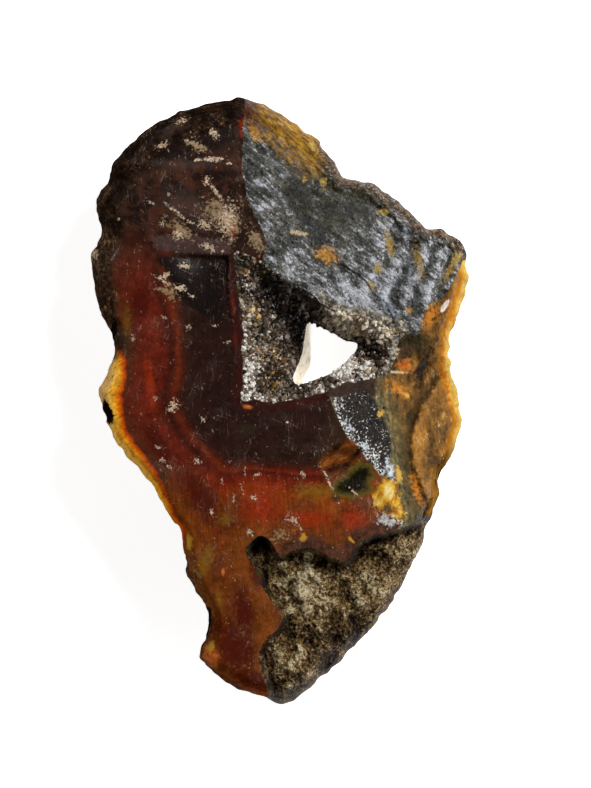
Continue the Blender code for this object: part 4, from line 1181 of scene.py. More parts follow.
@dataclass(frozen=True)
class GreyFracture(Finish):
    """The grey crystalline fracture: dark and light grains in slanting streaks, with olive and ochre, painted
    sheen, and painted light and shade on its flutes.
    """

    specular: float
    tilt: float = 1.1
    grain_colours: Stops = (
        (0.05, 12, 12, 8), (0.25, 34, 34, 26), (0.45, 68, 66, 58), (0.62, 98, 98, 96), (0.8, 140, 141, 145),
        (1, 198, 200, 206),
    )
    honey_colours: Stops = (
        (0.1, 62, 44, 10), (0.4, 124, 86, 18), (0.7, 168, 124, 34), (1, 206, 170, 84),
    )
    crumb_colours: Stops = ((0.2, 34, 26, 18), (0.5, 118, 108, 92), (0.8, 206, 196, 176))
    deep_coats: Coats = (
        Coat(Stain.OLIVE, (40, 38, 20), 0.5, 1.2, 0.85),
        Coat(Stain.INK, (26, 30, 38), 0.6, 1.0, 0.8),
    )
    middle_coats: Coats = (
        Coat(Stain.PALE, (150, 158, 172), 0.8, 1.2, 0.7),
        Coat(Stain.OCHRE, (150, 122, 62), 0.7, 0.8, 1.0, ((0.4, 0.5),)),
    )
    top_coats: Coats = (
        Coat(Stain.ORANGE, (188, 134, 46), 0.7, 0.5, 0.95, ((0.4, 0.7),)),
        Coat(Stain.YELLOW, (180, 152, 74), 0.8, 0.7, 0.9, ((0.4, 0.5),)),
        Coat(Stain.CREAM, (196, 176, 132), 0.8, 0.5, 0.9),
        Coat(Stain.DARK, (22, 17, 14), 0.45, 0.4),
    )

    def edges(self, w: Wiring, colour: object) -> object:
        """The brown rim along the outline, and the honey strip at the top left of it."""
        brown = w.mix(w.step(w.noise(0.5, 4.0), 0.0, 0.4), paint(36, 24, 14), paint(146, 104, 60))
        brown = w.mix(w.step(w.noise(0.4, 3.0), 0.4, 0.7), brown, paint(206, 192, 164))
        rim = w.field("rim") + w.noise(1.0, 4.0) * 0.5
        colour = w.mix(w.step(rim, 2.0, 0.6) * 0.85, colour, brown)
        honey = w.ramp(w.noise(0.8, 4.0, w.stretched(0.6, 2.4, 48)) * 0.6 + 0.5, self.honey_colours)
        shaded = w.step(w.x + w.noise(1.2, 4.0) * 1.8, -4.8, -0.6)
        honey = w.mix(shaded, paint(74, 36, 16), honey)
        strip = w.step(w.field("rim") + w.noise(1.6, 4.0) * 1.6, 5.6, 3.2) * w.step(w.x, 7.0, 4.5)
        return w.mix(strip * w.step(w.y, 30.5, 33.0) * 0.95, colour, honey)

    def dress(self, w: Wiring) -> None:
        """Wires the material's nodes."""
        sheen = w.field("sheen")
        creased = w.math("ABSOLUTE", w.noise(0.5, 4.0, w.stretched(0.8, 1.6, 50)))
        streaks = w.noise(1.0, 4.0, w.stretched(0.7, 3.4, 50))
        level = creased * 0.88 + streaks * 0.56 + w.noise(1.3, 4.0) * 0.30 + w.noise(4.0, 3.0) * 0.34
        # Painted sheen where the sheen field is high, and painted light on the ridges of the flutes
        level = level + sheen * 0.27 + w.field("fluting") * 0.20 + 0.20
        colour = w.ramp(level, self.grain_colours)
        khaki = w.step(w.noise(0.7, 4.0), 0.15, 0.6) * w.step(w.noise(4.0, 2.0) + sheen * -0.3, -0.2, 0.3)
        colour = w.mix(khaki * 0.55, colour, paint(128, 118, 80))
        warm = w.step(sheen, 0.2, -0.4) * w.step(w.noise(2.0, 4.0), -0.3, 0.3)
        colour = w.mix(warm * 0.45, colour, paint(46, 44, 28))
        colour = w.coated(colour, self.deep_coats)
        # Painted shade in the low grooves of the flutes
        painted_valley_shade = w.step(w.field("fluting") + streaks * 0.2, -0.25, -0.75)
        colour = w.mix(painted_valley_shade * 0.6, colour, paint(30, 33, 34))
        colour = w.coated(colour, self.middle_coats)
        colour = w.coated(self.edges(w, colour), self.top_coats)
        crumbs = w.ramp(w.noise(0.55, 4.0) * 0.5 + 0.5, self.crumb_colours)
        colour = w.mix(w.step(w.field("crumbs") + w.rough * 0.3, 0.25, 0.7), colour, crumbs)
        normal = w.bump(creased * -0.16 + w.noise(0.22, 2.0) * 0.03, w.glints(GLINT_SIZE, self.tilt))
        number, _ = w.grains(0.34)
        roughness = w.step(number, 0.0, 1.0) * 0.26 + 0.20
        w.finish(colour, roughness, normal, self.specular, IOR=QUARTZ_IOR)


@dataclass(frozen=True)
class GlitterCliff(Finish):
    """The black facet that sparkles, with painted glints besides its tilted crystal faces, and the olive and
    yellow stone beside it.
    """

    name: str = "glitter_cliff"
    tilt: float = 0.6
    plain_colours: Stops = (
        (0.1, 28, 27, 16), (0.45, 84, 76, 48), (0.75, 122, 107, 68), (1, 190, 178, 140),
    )
    coats: Coats = (
        Coat(Stain.OLIVE, (38, 36, 22), 0.4, 0.8),
        Coat(Stain.ORANGE, (170, 90, 34), 0.4, 0.8),
        Coat(Stain.YELLOW, (196, 154, 68), 0.4, 0.8),
        Coat(Stain.PALE, (186, 192, 200), 1.0, 0.8, 0.9, ((0.4, 0.4),)),
        Coat(Stain.CREAM, (188, 166, 130), 0.5, 0.4),
    )

    def dress(self, w: Wiring) -> None:
        """Wires the material's nodes."""
        glitter = w.step(w.field("glitter") + w.noise(1.0) * 0.3, -0.1, 0.4)
        by_edge = w.step(w.field("cliff"), 2.6, 0.2)
        # Painted glints: grey and white specks in the colour, thickest along the cliff's edge
        sparkle = w.noise(0.30, 3.0) * 0.95 + w.noise(1.2, 3.0) * 0.50 + by_edge * 0.55
        dark = w.ramp(w.noise(0.7, 3.0) * 0.5 + 0.5, ((0.2, 9, 7, 6), (0.8, 38, 29, 22)))
        painted_light_colour = w.mix(w.step(w.noise(0.5, 3.0), -0.6, 0.6), paint(140, 138, 132), paint(220, 220, 218))
        shining = w.mix(w.step(sparkle, 0.45, 0.85), dark, painted_light_colour)
        level = w.noise(0.5, 4.0) * 0.34 + w.noise(1.1, 4.0, w.stretched(0.7, 3.0, 14)) * 0.34 + 0.46
        brown = w.varied(paint(46, 27, 15), (0.4, 0.5), (1.5, 0.5))
        by_mouth = w.step(w.y, 0.2, 1.0) * w.step(w.x, 14.4, 13.2)
        plain = w.mix(by_mouth, w.ramp(level, self.plain_colours), brown)
        colour = w.coated(Scoop().over(w, w.mix(glitter, plain, shining)), self.coats)
        normal = w.bump(w.noise(0.4, 3.0) * 0.04, w.glints(GLINT_SIZE, glitter * self.tilt))
        w.finish(colour, 0.40 - glitter * 0.10, normal, 0.1, IOR=QUARTZ_IOR)


@dataclass(frozen=True)
class AmberFlank(Finish):
    """The ribbed amber flank: brown and orange fibres, olive by the crease, with painted highlights, painted
    shade in its furrow and painted light at the thin edge.
    """

    specular: float
    fibre_colours: Stops = (
        (0.05, 30, 20, 7), (0.3, 76, 51, 18), (0.52, 114, 77, 28), (0.75, 152, 108, 46), (1, 198, 156, 92),
    )
    olive_colours: Stops = ((0.1, 46, 42, 24), (0.5, 94, 82, 48), (0.9, 150, 136, 96))
    coats: Coats = (
        Coat(Stain.OLIVE, (48, 42, 22), 0.5, 0.9, 0.9),
        Coat(Stain.ORANGE, (184, 112, 30), 0.8, 0.9, 0.9, ((0.5, 0.4),)),
        Coat(Stain.YELLOW, (200, 160, 70), 0.7, 0.9, 0.9, ((0.5, 0.4),)),
        Coat(Stain.RED, (150, 64, 20), 0.7, 0.7, 0.9, ((0.4, 0.5),)),
        Coat(Stain.EMBER, (170, 84, 22), 0.8, 0.9, 0.9, ((0.4, 0.9), (1.2, 0.6))),
        Coat(Stain.PALE, (222, 202, 190), 0.25, 0.3),
        Coat(Stain.CREAM, (186, 168, 136), 0.7, 0.5, 0.9),
        Coat(Stain.DARK, (26, 20, 16), 0.45, 0.5, 0.9),
    )

    def painted_furrow_and_crest(self, w: Wiring, colour: object) -> object:
        """Painted shade in the furrow, and a painted highlight on the crest of the lobe beside it."""
        across = w.field("furrow") + w.noise(1.0, 3.0) * 0.4
        furrow = w.step(across, -1.1, -0.1) * w.step(across, 0.7, 0.1)
        colour = w.mix(furrow * 0.75, colour, w.varied(paint(56, 40, 15), (0.5, 0.5)))
        crest = w.step(across, 0.3, 0.9) * w.step(across, 2.6, 1.0)
        return w.mix(crest * 0.4, colour, w.varied(paint(178, 122, 52), (0.5, 0.5)))

    def dress(self, w: Wiring) -> None:
        """Wires the material's nodes."""
        fibre = w.field("fibre")
        fibres = w.noise(1.2, 4.0, w.stretched(0.6, 2.2, 8))
        level = fibres * 0.26 + fibre * 0.30 + w.noise(4.0, 3.0) * 0.26 + w.noise(0.5, 3.0) * 0.10 + 0.42
        colour = w.ramp(level, self.fibre_colours)
        # Painted highlights: pale streaks along the fibres, most on the raised ones
        painted_highlights = w.step(w.noise(0.7, 4.0, w.stretched(0.4, 2.2, 6)) + fibre * 0.4, 0.5, 0.9)
        colour = w.mix(painted_highlights * 0.6, colour, paint(222, 186, 130))
        by_crease = w.step(w.field("amber") + w.noise(1.5, 3.0) * 0.5, 2.6, 0.8) * w.step(w.y, 4.0, 0.0)
        colour = w.mix(by_crease * 0.8, colour, w.ramp(level, self.olive_colours))
        colour = self.painted_furrow_and_crest(w, colour)
        # Painted light at the thin edge: orange, and pale yellow nearest the outline, as light shining
        # through
        rim = w.field("rim") + w.noise(1.5, 3.0) * 0.45
        painted_light_colour = w.mix(w.step(rim, 1.1, 0.2), paint(190, 120, 28), paint(210, 174, 92))
        painted_light_colour = w.varied(painted_light_colour, (0.4, 0.3), (1.5, 0.3))
        colour = w.mix(w.step(rim, 2.2, 0.6) * w.step(w.y, -9.0, -4.0) * 0.85, colour, painted_light_colour)
        colour = w.coated(colour, self.coats)
        height = fibres * 0.10 + w.noise(0.5, 3.0) * 0.05
        w.finish(colour, w.step(fibres, -1.5, 1.5) * 0.22 + 0.24, w.bump(height), self.specular)


@dataclass(frozen=True)
class Rind(Finish):
    """The rough outer rind, khaki and tan, with painted shade that makes its pits nearly black, painted light
    on its lumps and mounds, and painted shadow along the break.
    """

    name: str = "rough_rind"
    colours: Stops = (
        (0, 10, 7, 4), (0.2, 32, 21, 11), (0.4, 80, 57, 31), (0.58, 128, 99, 57), (0.78, 176, 148, 98),
        (1, 232, 216, 176),
    )

    def dress(self, w: Wiring) -> None:
        """Wires the material's nodes."""
        relief = w.field("relief")
        grit = w.noise(0.42, 4.0)
        # Painted light and shade: lighter on the lumps and mounds, darker in the pits and in the groove
        # between mounds, and darker near the break as the shadow of the face above it
        level = relief * 0.30 + grit * 0.62 + w.noise(2.2, 3.0) * 0.14 + w.field("mounds") * 0.42
        level = level + w.step(w.field("rind"), 0.2, 1.8) * 0.26 + w.step(w.y, -33.0, -29.0) * 0.18 - 0.01
        colour = w.ramp(level - w.step(w.x, 6.0, 13.0) * 0.08, self.colours)
        colour = w.mix(w.step(w.noise(1.6, 4.0), 0.1, 0.6) * 0.4, colour, paint(118, 88, 36))
        colour = w.mix(w.step(w.noise(0.9, 4.0), -0.25, -0.6) * 0.7, colour, paint(24, 15, 9))
        grains = w.step(w.noise(0.32, 3.0) + relief * 0.4, 0.65, 0.95)
        colour = w.mix(grains, colour, paint(212, 200, 172))
        w.finish(colour, 0.62, w.bump(grit * 0.34 + w.noise(0.2, 2.0) * 0.08), 0.15)


@dataclass(frozen=True)
class ThroatWall(Finish):
    """The wall of the hole: dark brown stone, with a smooth cream crust down its left side that gives off
    painted light.
    """

    name: str = "throat_wall"
    # How strongly the crust gives off its painted light
    glow: float = 0.5
    crust_colours: Stops = ((0.1, 176, 158, 130), (0.5, 222, 210, 190), (0.9, 238, 230, 216))

    def dress(self, w: Wiring) -> None:
        """Wires the material's nodes."""
        brown = w.ramp(w.noise(1.0, 4.0) * 0.5 + 0.5, ((0.2, 22, 14, 9), (0.8, 74, 56, 38)))
        crust = w.ramp(w.noise(0.9, 4.0) * 0.5 + 0.5, self.crust_colours)
        lip = w.step(w.field("lip") + w.noise(0.8, 3.0) * 0.2, 0.3, 0.6)
        # Painted light: the crust gives off light of its own colour, which keeps it pale in the shade of the
        # hole
        painted_crust_light = w.mix(lip, BLACK, crust)
        normal = w.bump(w.noise(0.7, 4.0) * 0.10)
        w.finish(w.mix(lip, brown, crust), 0.6, normal, Emission_Color=painted_crust_light, Emission_Strength=self.glow)


@dataclass(frozen=True)
class DruseCrystal(Finish):
    """Small quartz crystals: grey and white, golden or nearly black, each one in its own tone, with painted
    light and shade by where it stands.
    """

    name: str = "druse_crystal"
    grey: Stops = (
        (0, 14, 9, 6), (0.25, 50, 37, 25), (0.5, 98, 81, 62), (0.75, 158, 146, 130), (1, 230, 226, 220),
    )
    gold: Stops = ((0.1, 36, 24, 10), (0.5, 124, 88, 38), (1, 200, 166, 104))
    cream: Stops = ((0.1, 40, 28, 16), (0.5, 128, 106, 76), (1, 206, 188, 156))

    def dress(self, w: Wiring) -> None:
        """Wires the material's nodes."""
        level = w.field("tone") + w.noise(0.4, 3.0) * 0.22
        above_hole = w.step(w.x, 4.5, 7.5) * w.step(w.y, 7.5, 9.0)
        colour = w.mix(above_hole * 0.65, w.ramp(level, self.grey), w.ramp(level, self.cream))
        colour = w.mix(w.step(w.field("gold"), 0.5, 0.7), colour, w.ramp(level, self.gold))
        w.finish(colour, 0.3, None, 0.4, IOR=QUARTZ_IOR)


# The pieces
@dataclass
class MeshPiece:
    """A mesh made of sheets that meet at shared points, with fields at its points."""

    name: str
    sheets: list[tuple[Array, Array, Fields, Array, Array]] = field(default_factory=list)

    def add(
        self, points: Array, triangles: Array, fields: Fields, slot: Array | int, soft: Array | bool
    ) -> None:
        """Adds a sheet.

        Args:
            points: its points, in millimetres.
            triangles: three numbers of points each.
            fields: values at its points, by name.
            slot: the material slot of each triangle.
            soft: whether each triangle is shaded smooth.
        """
        first = sum(len(sheet[0]) for sheet in self.sheets)
        count = len(triangles)
        slots, softs = np.broadcast_to(slot, count), np.broadcast_to(soft, count)
        self.sheets.append((points, triangles + first, fields, slots, softs))

    def build(self, materials: Sequence[bpy.types.Material], sharp: float) -> bpy.types.Object:
        """Joins the sheets in one object.

        Args:
            materials: the materials, in the order of the slots.
            sharp: the angle in degrees past which an edge stays sharp.

        Returns:
            The object.
        """
        corners, triples, fields, slots, softs = zip(*self.sheets)
        points = np.concatenate(corners)
        _, first, place = np.unique(np.round(points, 3), axis=0, return_index=True, return_inverse=True)
        triangles = place.ravel()[np.concatenate(triples)]
        whole = (triangles != np.roll(triangles, -1, axis=1)).all(axis=1)
        used, triangles = np.unique(triangles[whole], return_inverse=True)
        mesh = bpy.data.meshes.new(self.name)
        mesh.from_pydata((points[first][used] * MM).tolist(), [], triangles.reshape(-1, 3).tolist())
        mesh.polygons.foreach_set("material_index", np.concatenate(slots)[whole].astype(np.int32))
        mesh.polygons.foreach_set("use_smooth", np.concatenate(softs)[whole])
        for name in fields[0]:
            values = np.concatenate([part[name] for part in fields])[first][used]
            held = mesh.attributes.new(name, "FLOAT", "POINT")
            held.data.foreach_set("value", values.astype(np.float32))
        mesh.set_sharp_from_angle(angle=math.radians(sharp))
        for material in materials:
            mesh.materials.append(material)
        made = bpy.data.objects.new(self.name, mesh)
        bpy.context.scene.collection.objects.link(made)
        return made


class StoneSlot(IntEnum):
    """The material slots of the stone."""

    CHALCEDONY = 0
    GREY = 1
    CLIFF = 2
    FLANK = 3
    RIND = 4
    THROAT = 5
    EDGE = 6
    GREY_RIM = 7
    FLANK_RIM = 8


@dataclass
class AgateNodule:
    """The stone itself, in one piece: face, fracture plane, flank, rind, back and the wall of the hole."""

    outline: Outline
    face: BrokenFace
    hollow: Hollow
    underside: Underside = Underside()
    sharp_angle: float = 38
    # How far apart the mesh's points are, and by how much of that each is moved at random
    rough_spacing: float = 0.22
    smooth_spacing: float = 0.26
    hidden_spacing: float = 0.8
    back_spacing: float = 0.5
    front_jitter: float = 0.16
    back_jitter: float = 0.14
    # How far the creases' points keep off the loops, and the filling points off the outline
    crease_clearance: float = 0.25
    front_clearance: float = 0.42
    back_clearance: float = 0.6
    opening_clearance: float = 0.3
    # How far inside the outline and the mouth rows of points follow them
    rim_rows: tuple[float, ...] = (0.04, 0.12, 0.26)
    mouth_rows: tuple[float, ...] = (0.1, 0.4)
    back_rows: tuple[float, ...] = (0.1, 0.3)
    # How far in from the outline the dull edge and the two rims reach
    edge_width: float = 2.3
    grey_rim_width: float = 2.6
    flank_rim_width: float = 1.3
    edge_wander: float = 0.22
    # How far the bed under the crystals lies below the hollow's wall, and over which width it sinks there
    bed: float = 0.35
    bed_width: float = 0.4
    # How wide the border is over which one zone's relief gives way to the next one's
    border: float = 0.4
    # The width of the painted glowing edge, and of the weathered skin, at a few heights of the face from its
    # foot
    glow_heights: tuple[float, ...] = (-40.0, -24.0, -19.5, -17.0, -12.7, -8.4, -4.0, 0.2, 3.0, 5.9, 7.2, 8.0)
    glow_widths: tuple[float, ...] = (-1.5, -1.0, 0.6, 0.9, 1.5, 2.0, 2.3, 3.2, 3.0, 2.2, 1.2, -1.0)
    skin_heights: tuple[float, ...] = (-43.0, -36.0, -24.0, -18.0, -8.0, 5.0, 8.0, 15.0, 25.0, 35.0, 43.0)
    skin_widths: tuple[float, ...] = (1.2, 0.9, 1.1, 0.5, 0.3, 0.35, 1.8, 3.0, 3.5, 4.5, 4.0)
    # Where the grey plane has painted sheen and where it is darker: the middle, the radius and by how much
    sheens: Rows = (
        (11, 16.5, 6.5, 1), (16, 15, 5, 0.9), (6.5, 15.5, 3.5, 0.5), (20.5, 20.5, 4.5, 0.9),
        (22.5, 15.5, 3.5, 0.5), (13.5, 22.5, 2.6, 0.5), (3, 17.5, 2.6, 0.5), (9, 28, 5, -0.7),
        (1, 29, 4, -0.5), (5.6, 24.2, 3, -0.5), (0.5, 22, 4, 0.5), (-3, 29.5, 3.4, 0.8),
    )
    crack: Crease = Crease(
        ((8.1, 19.9), (11.7, 17.6), (13.1, 15.6), (15.0, 14.0), (16.0, 11.9), (16.8, 9.9)),
        ((FAR, 9.9), (FAR, FAR), (8.1, FAR)),
    )
    crack_step: float = 0.35
    crack_reach: float = 2.0
    # The furrow of the flank, with a lobe on its right that dies out over its reach
    furrow: Crease = Crease(
        ((22.4, 3.2), (20.4, 0.6), (18.9, -2.7), (18.4, -6.5), (18.7, -9.8), (20.4, -13.8)),
        ((FAR, -13.8), (FAR, 3.2)),
    )
    furrow_width: float = 0.55
    furrow_depth: float = 0.3
    lobe_height: float = 0.5
    lobe_reach: float = 1.2
    # How deep the scoop and the pool are, and how far in from their edges they reach that depth
    scoop_depth: float = 0.10
    scoop_bank: float = 1.5
    pool_depth: float = 0.14
    pool_bank: float = 2.0
    # How far in from the outline the face's relief and its moves sideways come into their own
    relief_reach: float = 0.8
    wander_reach: float = 2.0
    fill_seed: int = 7
    throat_levels: int = 14
    # The height and the size of the lumps of the throat's wall, and the size of its specks
    throat_lump: float = 0.35
    throat_lump_size: float = 1.4
    throat_speck_size: float = 1.0
    # Left of this place along X, and over this width, the wall has its crust
    crust_edge: float = 5.4
    crust_fade: float = 0.8
    # The height of the back's lumps, the sizes of the large and the small ones, how strong the small
    # ones are, and the height over which they grow from the flat spot and the rim
    back_lump: float = 0.22
    back_large: float = 2.2
    back_small: float = 1.1
    back_share: float = 0.6
    back_grown: float = 0.8
    flat_height: float = 0.02

    def creases(self) -> list[Array]:
        """The lines that the face's triangles follow, each kept off the ones before it."""
        rim = ring(self.outline.loop)
        mouth = ring(self.hollow.mouth)
        kept: list[Array] = []
        face = self.face
        creases = (face.rind_break, face.grey, face.flank, face.upper, face.cliff)
        for curve in (*(crease.curve for crease in creases), spline(face.ledge, face.grey.spacing, False)):
            clear = clear_of(curve, [rim, mouth, *kept], self.crease_clearance)
            curve = curve[inside(rim, curve) & clear]
            kept.append(curve)
        return kept

    def front_height(self, xy: Array) -> Array:
        """The top surface: the face, its rounded edge, and the bed under the crystals."""
        distance, rim = nearest(ring(self.outline.loop), xy)
        share = np.clip(distance / rim[:, 3], 0, 1)
        above_rim = np.maximum(self.face.height(xy) - rim[:, 2], 0.4)
        z = rim[:, 2] + above_rim * np.sqrt(1 - (1 - share) ** 2)
        into = from_loop(self.hollow.mouth, xy)
        bed = inside(self.hollow.mouth, xy) & (into > 0.02)
        z[bed] = self.hollow.wall(xy[bed]) - self.bed * np.clip(into[bed] / self.bed_width, 0, 1)
        return on_loops(xy, z, (self.outline.loop, self.hollow.throat))

    def zones(self, xy: Array) -> Fields:
        """The fields that the finishes read, at each point of the plan."""
        face = self.face
        left = [p for part in (self.outline.lobe, self.outline.thin, self.outline.blunt) for p in part.points]
        from_left = nearest(spline(left, 1.0, False), xy)[0]
        from_mouth = from_loop(self.hollow.mouth, xy)
        from_outside = np.minimum(from_left, nearest(face.rind_break.curve, xy)[0])
        mounds = [mound(xy, x, y, radius, 1.0) for x, y, radius, _ in face.rind_mounds]
        fields = {
            "rim": from_loop(self.outline.loop, xy),
            "band": from_outside / (from_outside + from_mouth + TINY),
            "glow": np.interp(xy[:, 1], self.glow_heights, self.glow_widths) - from_left,
            "skin": np.interp(xy[:, 1], self.skin_heights, self.skin_widths) - from_left,
            "scar": face.in_scar(xy),
            "shoulder": face.shoulder.beyond(xy),
            "cliff": face.cliff.beyond(xy),
            "grey": face.grey.beyond(xy),
            "rind": face.rind_break.beyond(xy),
            "sheen": sum(mound(xy, *place) for place in self.sheens),
            "fluting": face.fluting(xy),
            "mounds": np.max(mounds, axis=0),
            "crumbs": smooth(1 - from_mouth / 2.4) * smooth((xy[:, 0] - 3.0) / 4.0),
            "lip": np.zeros(len(xy)),
            "fibre": self.fibres(xy),
            "furrow": np.clip(self.furrow.beyond(xy), -4.0, 4.0),
        }
        for patch in Patch:
            fields[patch.name.lower()] = np.maximum(within(patch.value, xy), -3.0)
        for kind, blots in BLOTS.items():
            fields[kind.value] = np.maximum(np.max([blot.depth(xy) for blot in blots], axis=0), -1.0)
        return fields

    def slots_at(self, zones: Fields, in_mouth: Array) -> Array:
        """Which material each place of the front has."""
        rim, grey, amber = zones["rim"], zones["grey"], zones["amber"]
        dull = (rim < self.edge_width) | (zones["glow"] > -0.2) | (zones["skin"] > 0.3) | (grey > -0.4)
        slots = np.full(len(in_mouth), StoneSlot.CHALCEDONY)
        for slot, where in (
            (StoneSlot.EDGE, dull | (zones["scoop"] > 0) | (zones["pool"] > 0)),
            (StoneSlot.CLIFF, zones["cliff"] > 0),
            (StoneSlot.GREY, grey > 0),
            (StoneSlot.GREY_RIM, (grey > 0) & (rim < self.grey_rim_width)),
            (StoneSlot.FLANK, amber > 0),
            (StoneSlot.FLANK_RIM, (amber > 0) & (rim < self.flank_rim_width)),
            (StoneSlot.RIND, zones["rind"] > 0),
            (StoneSlot.THROAT, in_mouth),
        ):
            slots[where] = slot
        return slots

    def fibres(self, xy: Array) -> Array:
        """The wavy upright fibres of the flank, from about -1 to 1."""
        waving = xy + np.column_stack([0.8 * lumps(xy, 3.0, 46), np.zeros(len(xy))])
        upright = drawn_out(waving, 80, 2.6)
        return 0.5 * lumps(upright, 1.5, 34) + 0.3 * lumps(upright, 0.8, 35) + 0.2 * lumps(upright, 0.45, 38)

    def grain(self, xy: Array, zones: Fields) -> tuple[Array, Array]:
        """The fine relief.

        Args:
            xy: the points of the plan.
            zones: their fields.

        Returns:
            Its height at each point, and the same from -1 to 1 as a tone for the finishes.
        """
        rough = smooth(zones["rind"] / 0.5)
        flank = smooth(zones["amber"] / self.border) * (1 - rough)
        grey = smooth(zones["grey"] / self.border) * (1 - rough) * (1 - flank)
        cliff = smooth(zones["cliff"] / self.border) * (1 - grey) * (1 - flank) * (1 - rough)
        random = np.random.default_rng(21).uniform(-1, 1, len(xy))
        coarse = lumps(xy, 1.3, 31) + 0.6 * lumps(xy, 0.7, 32) + 0.4 * lumps(xy, 0.4, 33)
        slanting = drawn_out(xy, -40, 3.0)
        hackles = lumps(slanting, 1.0, 36) + 0.6 * lumps(slanting, 0.5, 37)
        z = rough * (0.62 * coarse + 0.50 * lumps(xy, 2.3, 39) + 0.13 * random)
        z += grey * (0.13 * coarse + 0.20 * hackles + 0.20 * lumps(slanting, 2.2, 45) + 0.05 * random)
        z += grey * 0.28 * zones["crumbs"] * coarse
        past_crack = self.crack.beyond(xy)
        z += grey * self.crack_step * (past_crack > 0) * np.exp(-np.maximum(past_crack, 0) / self.crack_reach)
        across = zones["furrow"]
        lobe = smooth(across / self.furrow_width) * np.exp(-np.maximum(across, 0) / self.lobe_reach)
        furrow = np.exp(-((across / self.furrow_width) ** 2))
        z += flank * (self.lobe_height * lobe - self.furrow_depth * furrow)
        z += flank * (0.30 * zones["fibre"] + 0.08 * coarse + 0.02 * random)
        z += cliff * (0.06 * coarse + 0.035 * random)
        scoop = self.scoop_depth * smooth(zones["scoop"] / self.scoop_bank)
        z -= scoop + self.pool_depth * smooth(zones["pool"] / self.pool_bank)
        return z * smooth(zones["rim"] / self.relief_reach), coarse / 1.4

    def fill(self, lines: Sequence[Array]) -> Array:
        """The points that fill the front: close together where it is rough, far apart under the crystals."""
        creases = (self.face.grey, self.face.cliff, self.face.flank, self.face.rind_break)
        regions = []
        for region, spacing in enumerate((self.rough_spacing, self.smooth_spacing, self.hidden_spacing)):
            points = lattice(spacing, self.front_jitter, self.fill_seed + region)
            points = points[inside(self.outline.loop, points)]
            hidden = inside(self.hollow.mouth, points)
            rough = np.any([crease.holds(points) for crease in creases], axis=0)
            points = points[(rough & ~hidden, ~rough & ~hidden, hidden)[region]]
            regions.append(points[clear_of(points, lines, 0.6 * spacing)])
        points = np.concatenate(regions)
        return points[clear_of(points, [ring(self.outline.loop)], self.front_clearance)]

    def front(self, piece: MeshPiece) -> None:
        """Adds the face and the bed under the crystals, down to the lip of the throat."""
        rim, mouth = self.outline.loop, self.hollow.mouth
        lines = [ring(mouth), *self.creases()]
        rows = [row_inside(rim, inset) for inset in self.rim_rows]
        steps = [row_inside(mouth, inset) for inset in self.mouth_rows]
        fill = np.concatenate([self.fill(lines), *rows, *steps])
        xy, triangles = triangulate(rim, self.hollow.throat, lines, fill)
        zones = self.zones(xy)
        fine, zones["relief"] = self.grain(xy, zones)
        z = self.front_height(xy) + np.where(inside(mouth, xy), 0, fine)
        middles = xy[triangles].mean(axis=1)
        centre = {name: values[triangles].mean(axis=1) for name, values in zones.items()}
        ragged = 0.2 * lumps(middles, 0.9, 44)
        for name in ("grey", "rind"):
            centre[name] = centre[name] + ragged
        slots = self.slots_at(centre, inside(mouth, middles))
        flat = (StoneSlot.GREY, StoneSlot.GREY_RIM, StoneSlot.CLIFF, StoneSlot.RIND)
        points = np.column_stack([self.wander(xy, zones["rim"]), z])
        soft = ~np.isin(slots, flat)
        piece.add(points, triangles, zones, slots, soft)

    def wander(self, xy: Array, from_rim: Array) -> Array:
        """The points, moved a little near the outline so that it is as uneven as broken stone."""
        strength = self.edge_wander * (1 - smooth(from_rim / self.wander_reach))
        moves = np.column_stack([lumps(xy, 1.1, 41) + 0.5 * lumps(xy, 0.5, 42), lumps(xy, 1.2, 43)])
        return xy + moves * strength[:, None]

    def throat_rings(self) -> list[Array]:
        """Rings from the lip of the throat down to the opening in the back."""
        throat = self.hollow.throat
        lip, foot = throat[:, :2], throat[:, 3:5]
        outward = lip - lip.mean(axis=0)
        outward /= np.hypot(*outward.T)[:, None]
        foot_height = self.underside.height(self.outline, foot)
        rings = []
        for share in np.linspace(0, 1, self.throat_levels):
            z = throat[:, 2] + (foot_height - throat[:, 2]) * share
            along = np.column_stack([lip.sum(axis=1), z])
            rough = self.throat_lump * math.sin(math.pi * share) * lumps(along, self.throat_lump_size, 51)
            xy = lip + (foot - lip) * share**self.hollow.throat_curve + outward * rough[:, None]
            rings.append(np.column_stack([xy, z]))
        return rings

    def throat(self, piece: MeshPiece, rings: list[Array]) -> None:
        """Adds the wall of the hole."""
        count = len(rings[0])
        level, i = (grid.ravel() for grid in np.mgrid[0 : len(rings) - 1, 0:count])
        a = level * count + i
        b = level * count + (i + 1) % count
        triangles = np.concatenate([np.stack([a, a + count, b], 1), np.stack([b, a + count, b + count], 1)])
        points = np.concatenate(rings)
        zones = self.zones(points[:, :2])
        zones["relief"] = lumps(points[:, 1:], self.throat_speck_size, 52)
        zones["lip"] = smooth((self.crust_edge - points[:, 0]) / self.crust_fade)
        piece.add(points, triangles, zones, StoneSlot.THROAT, True)

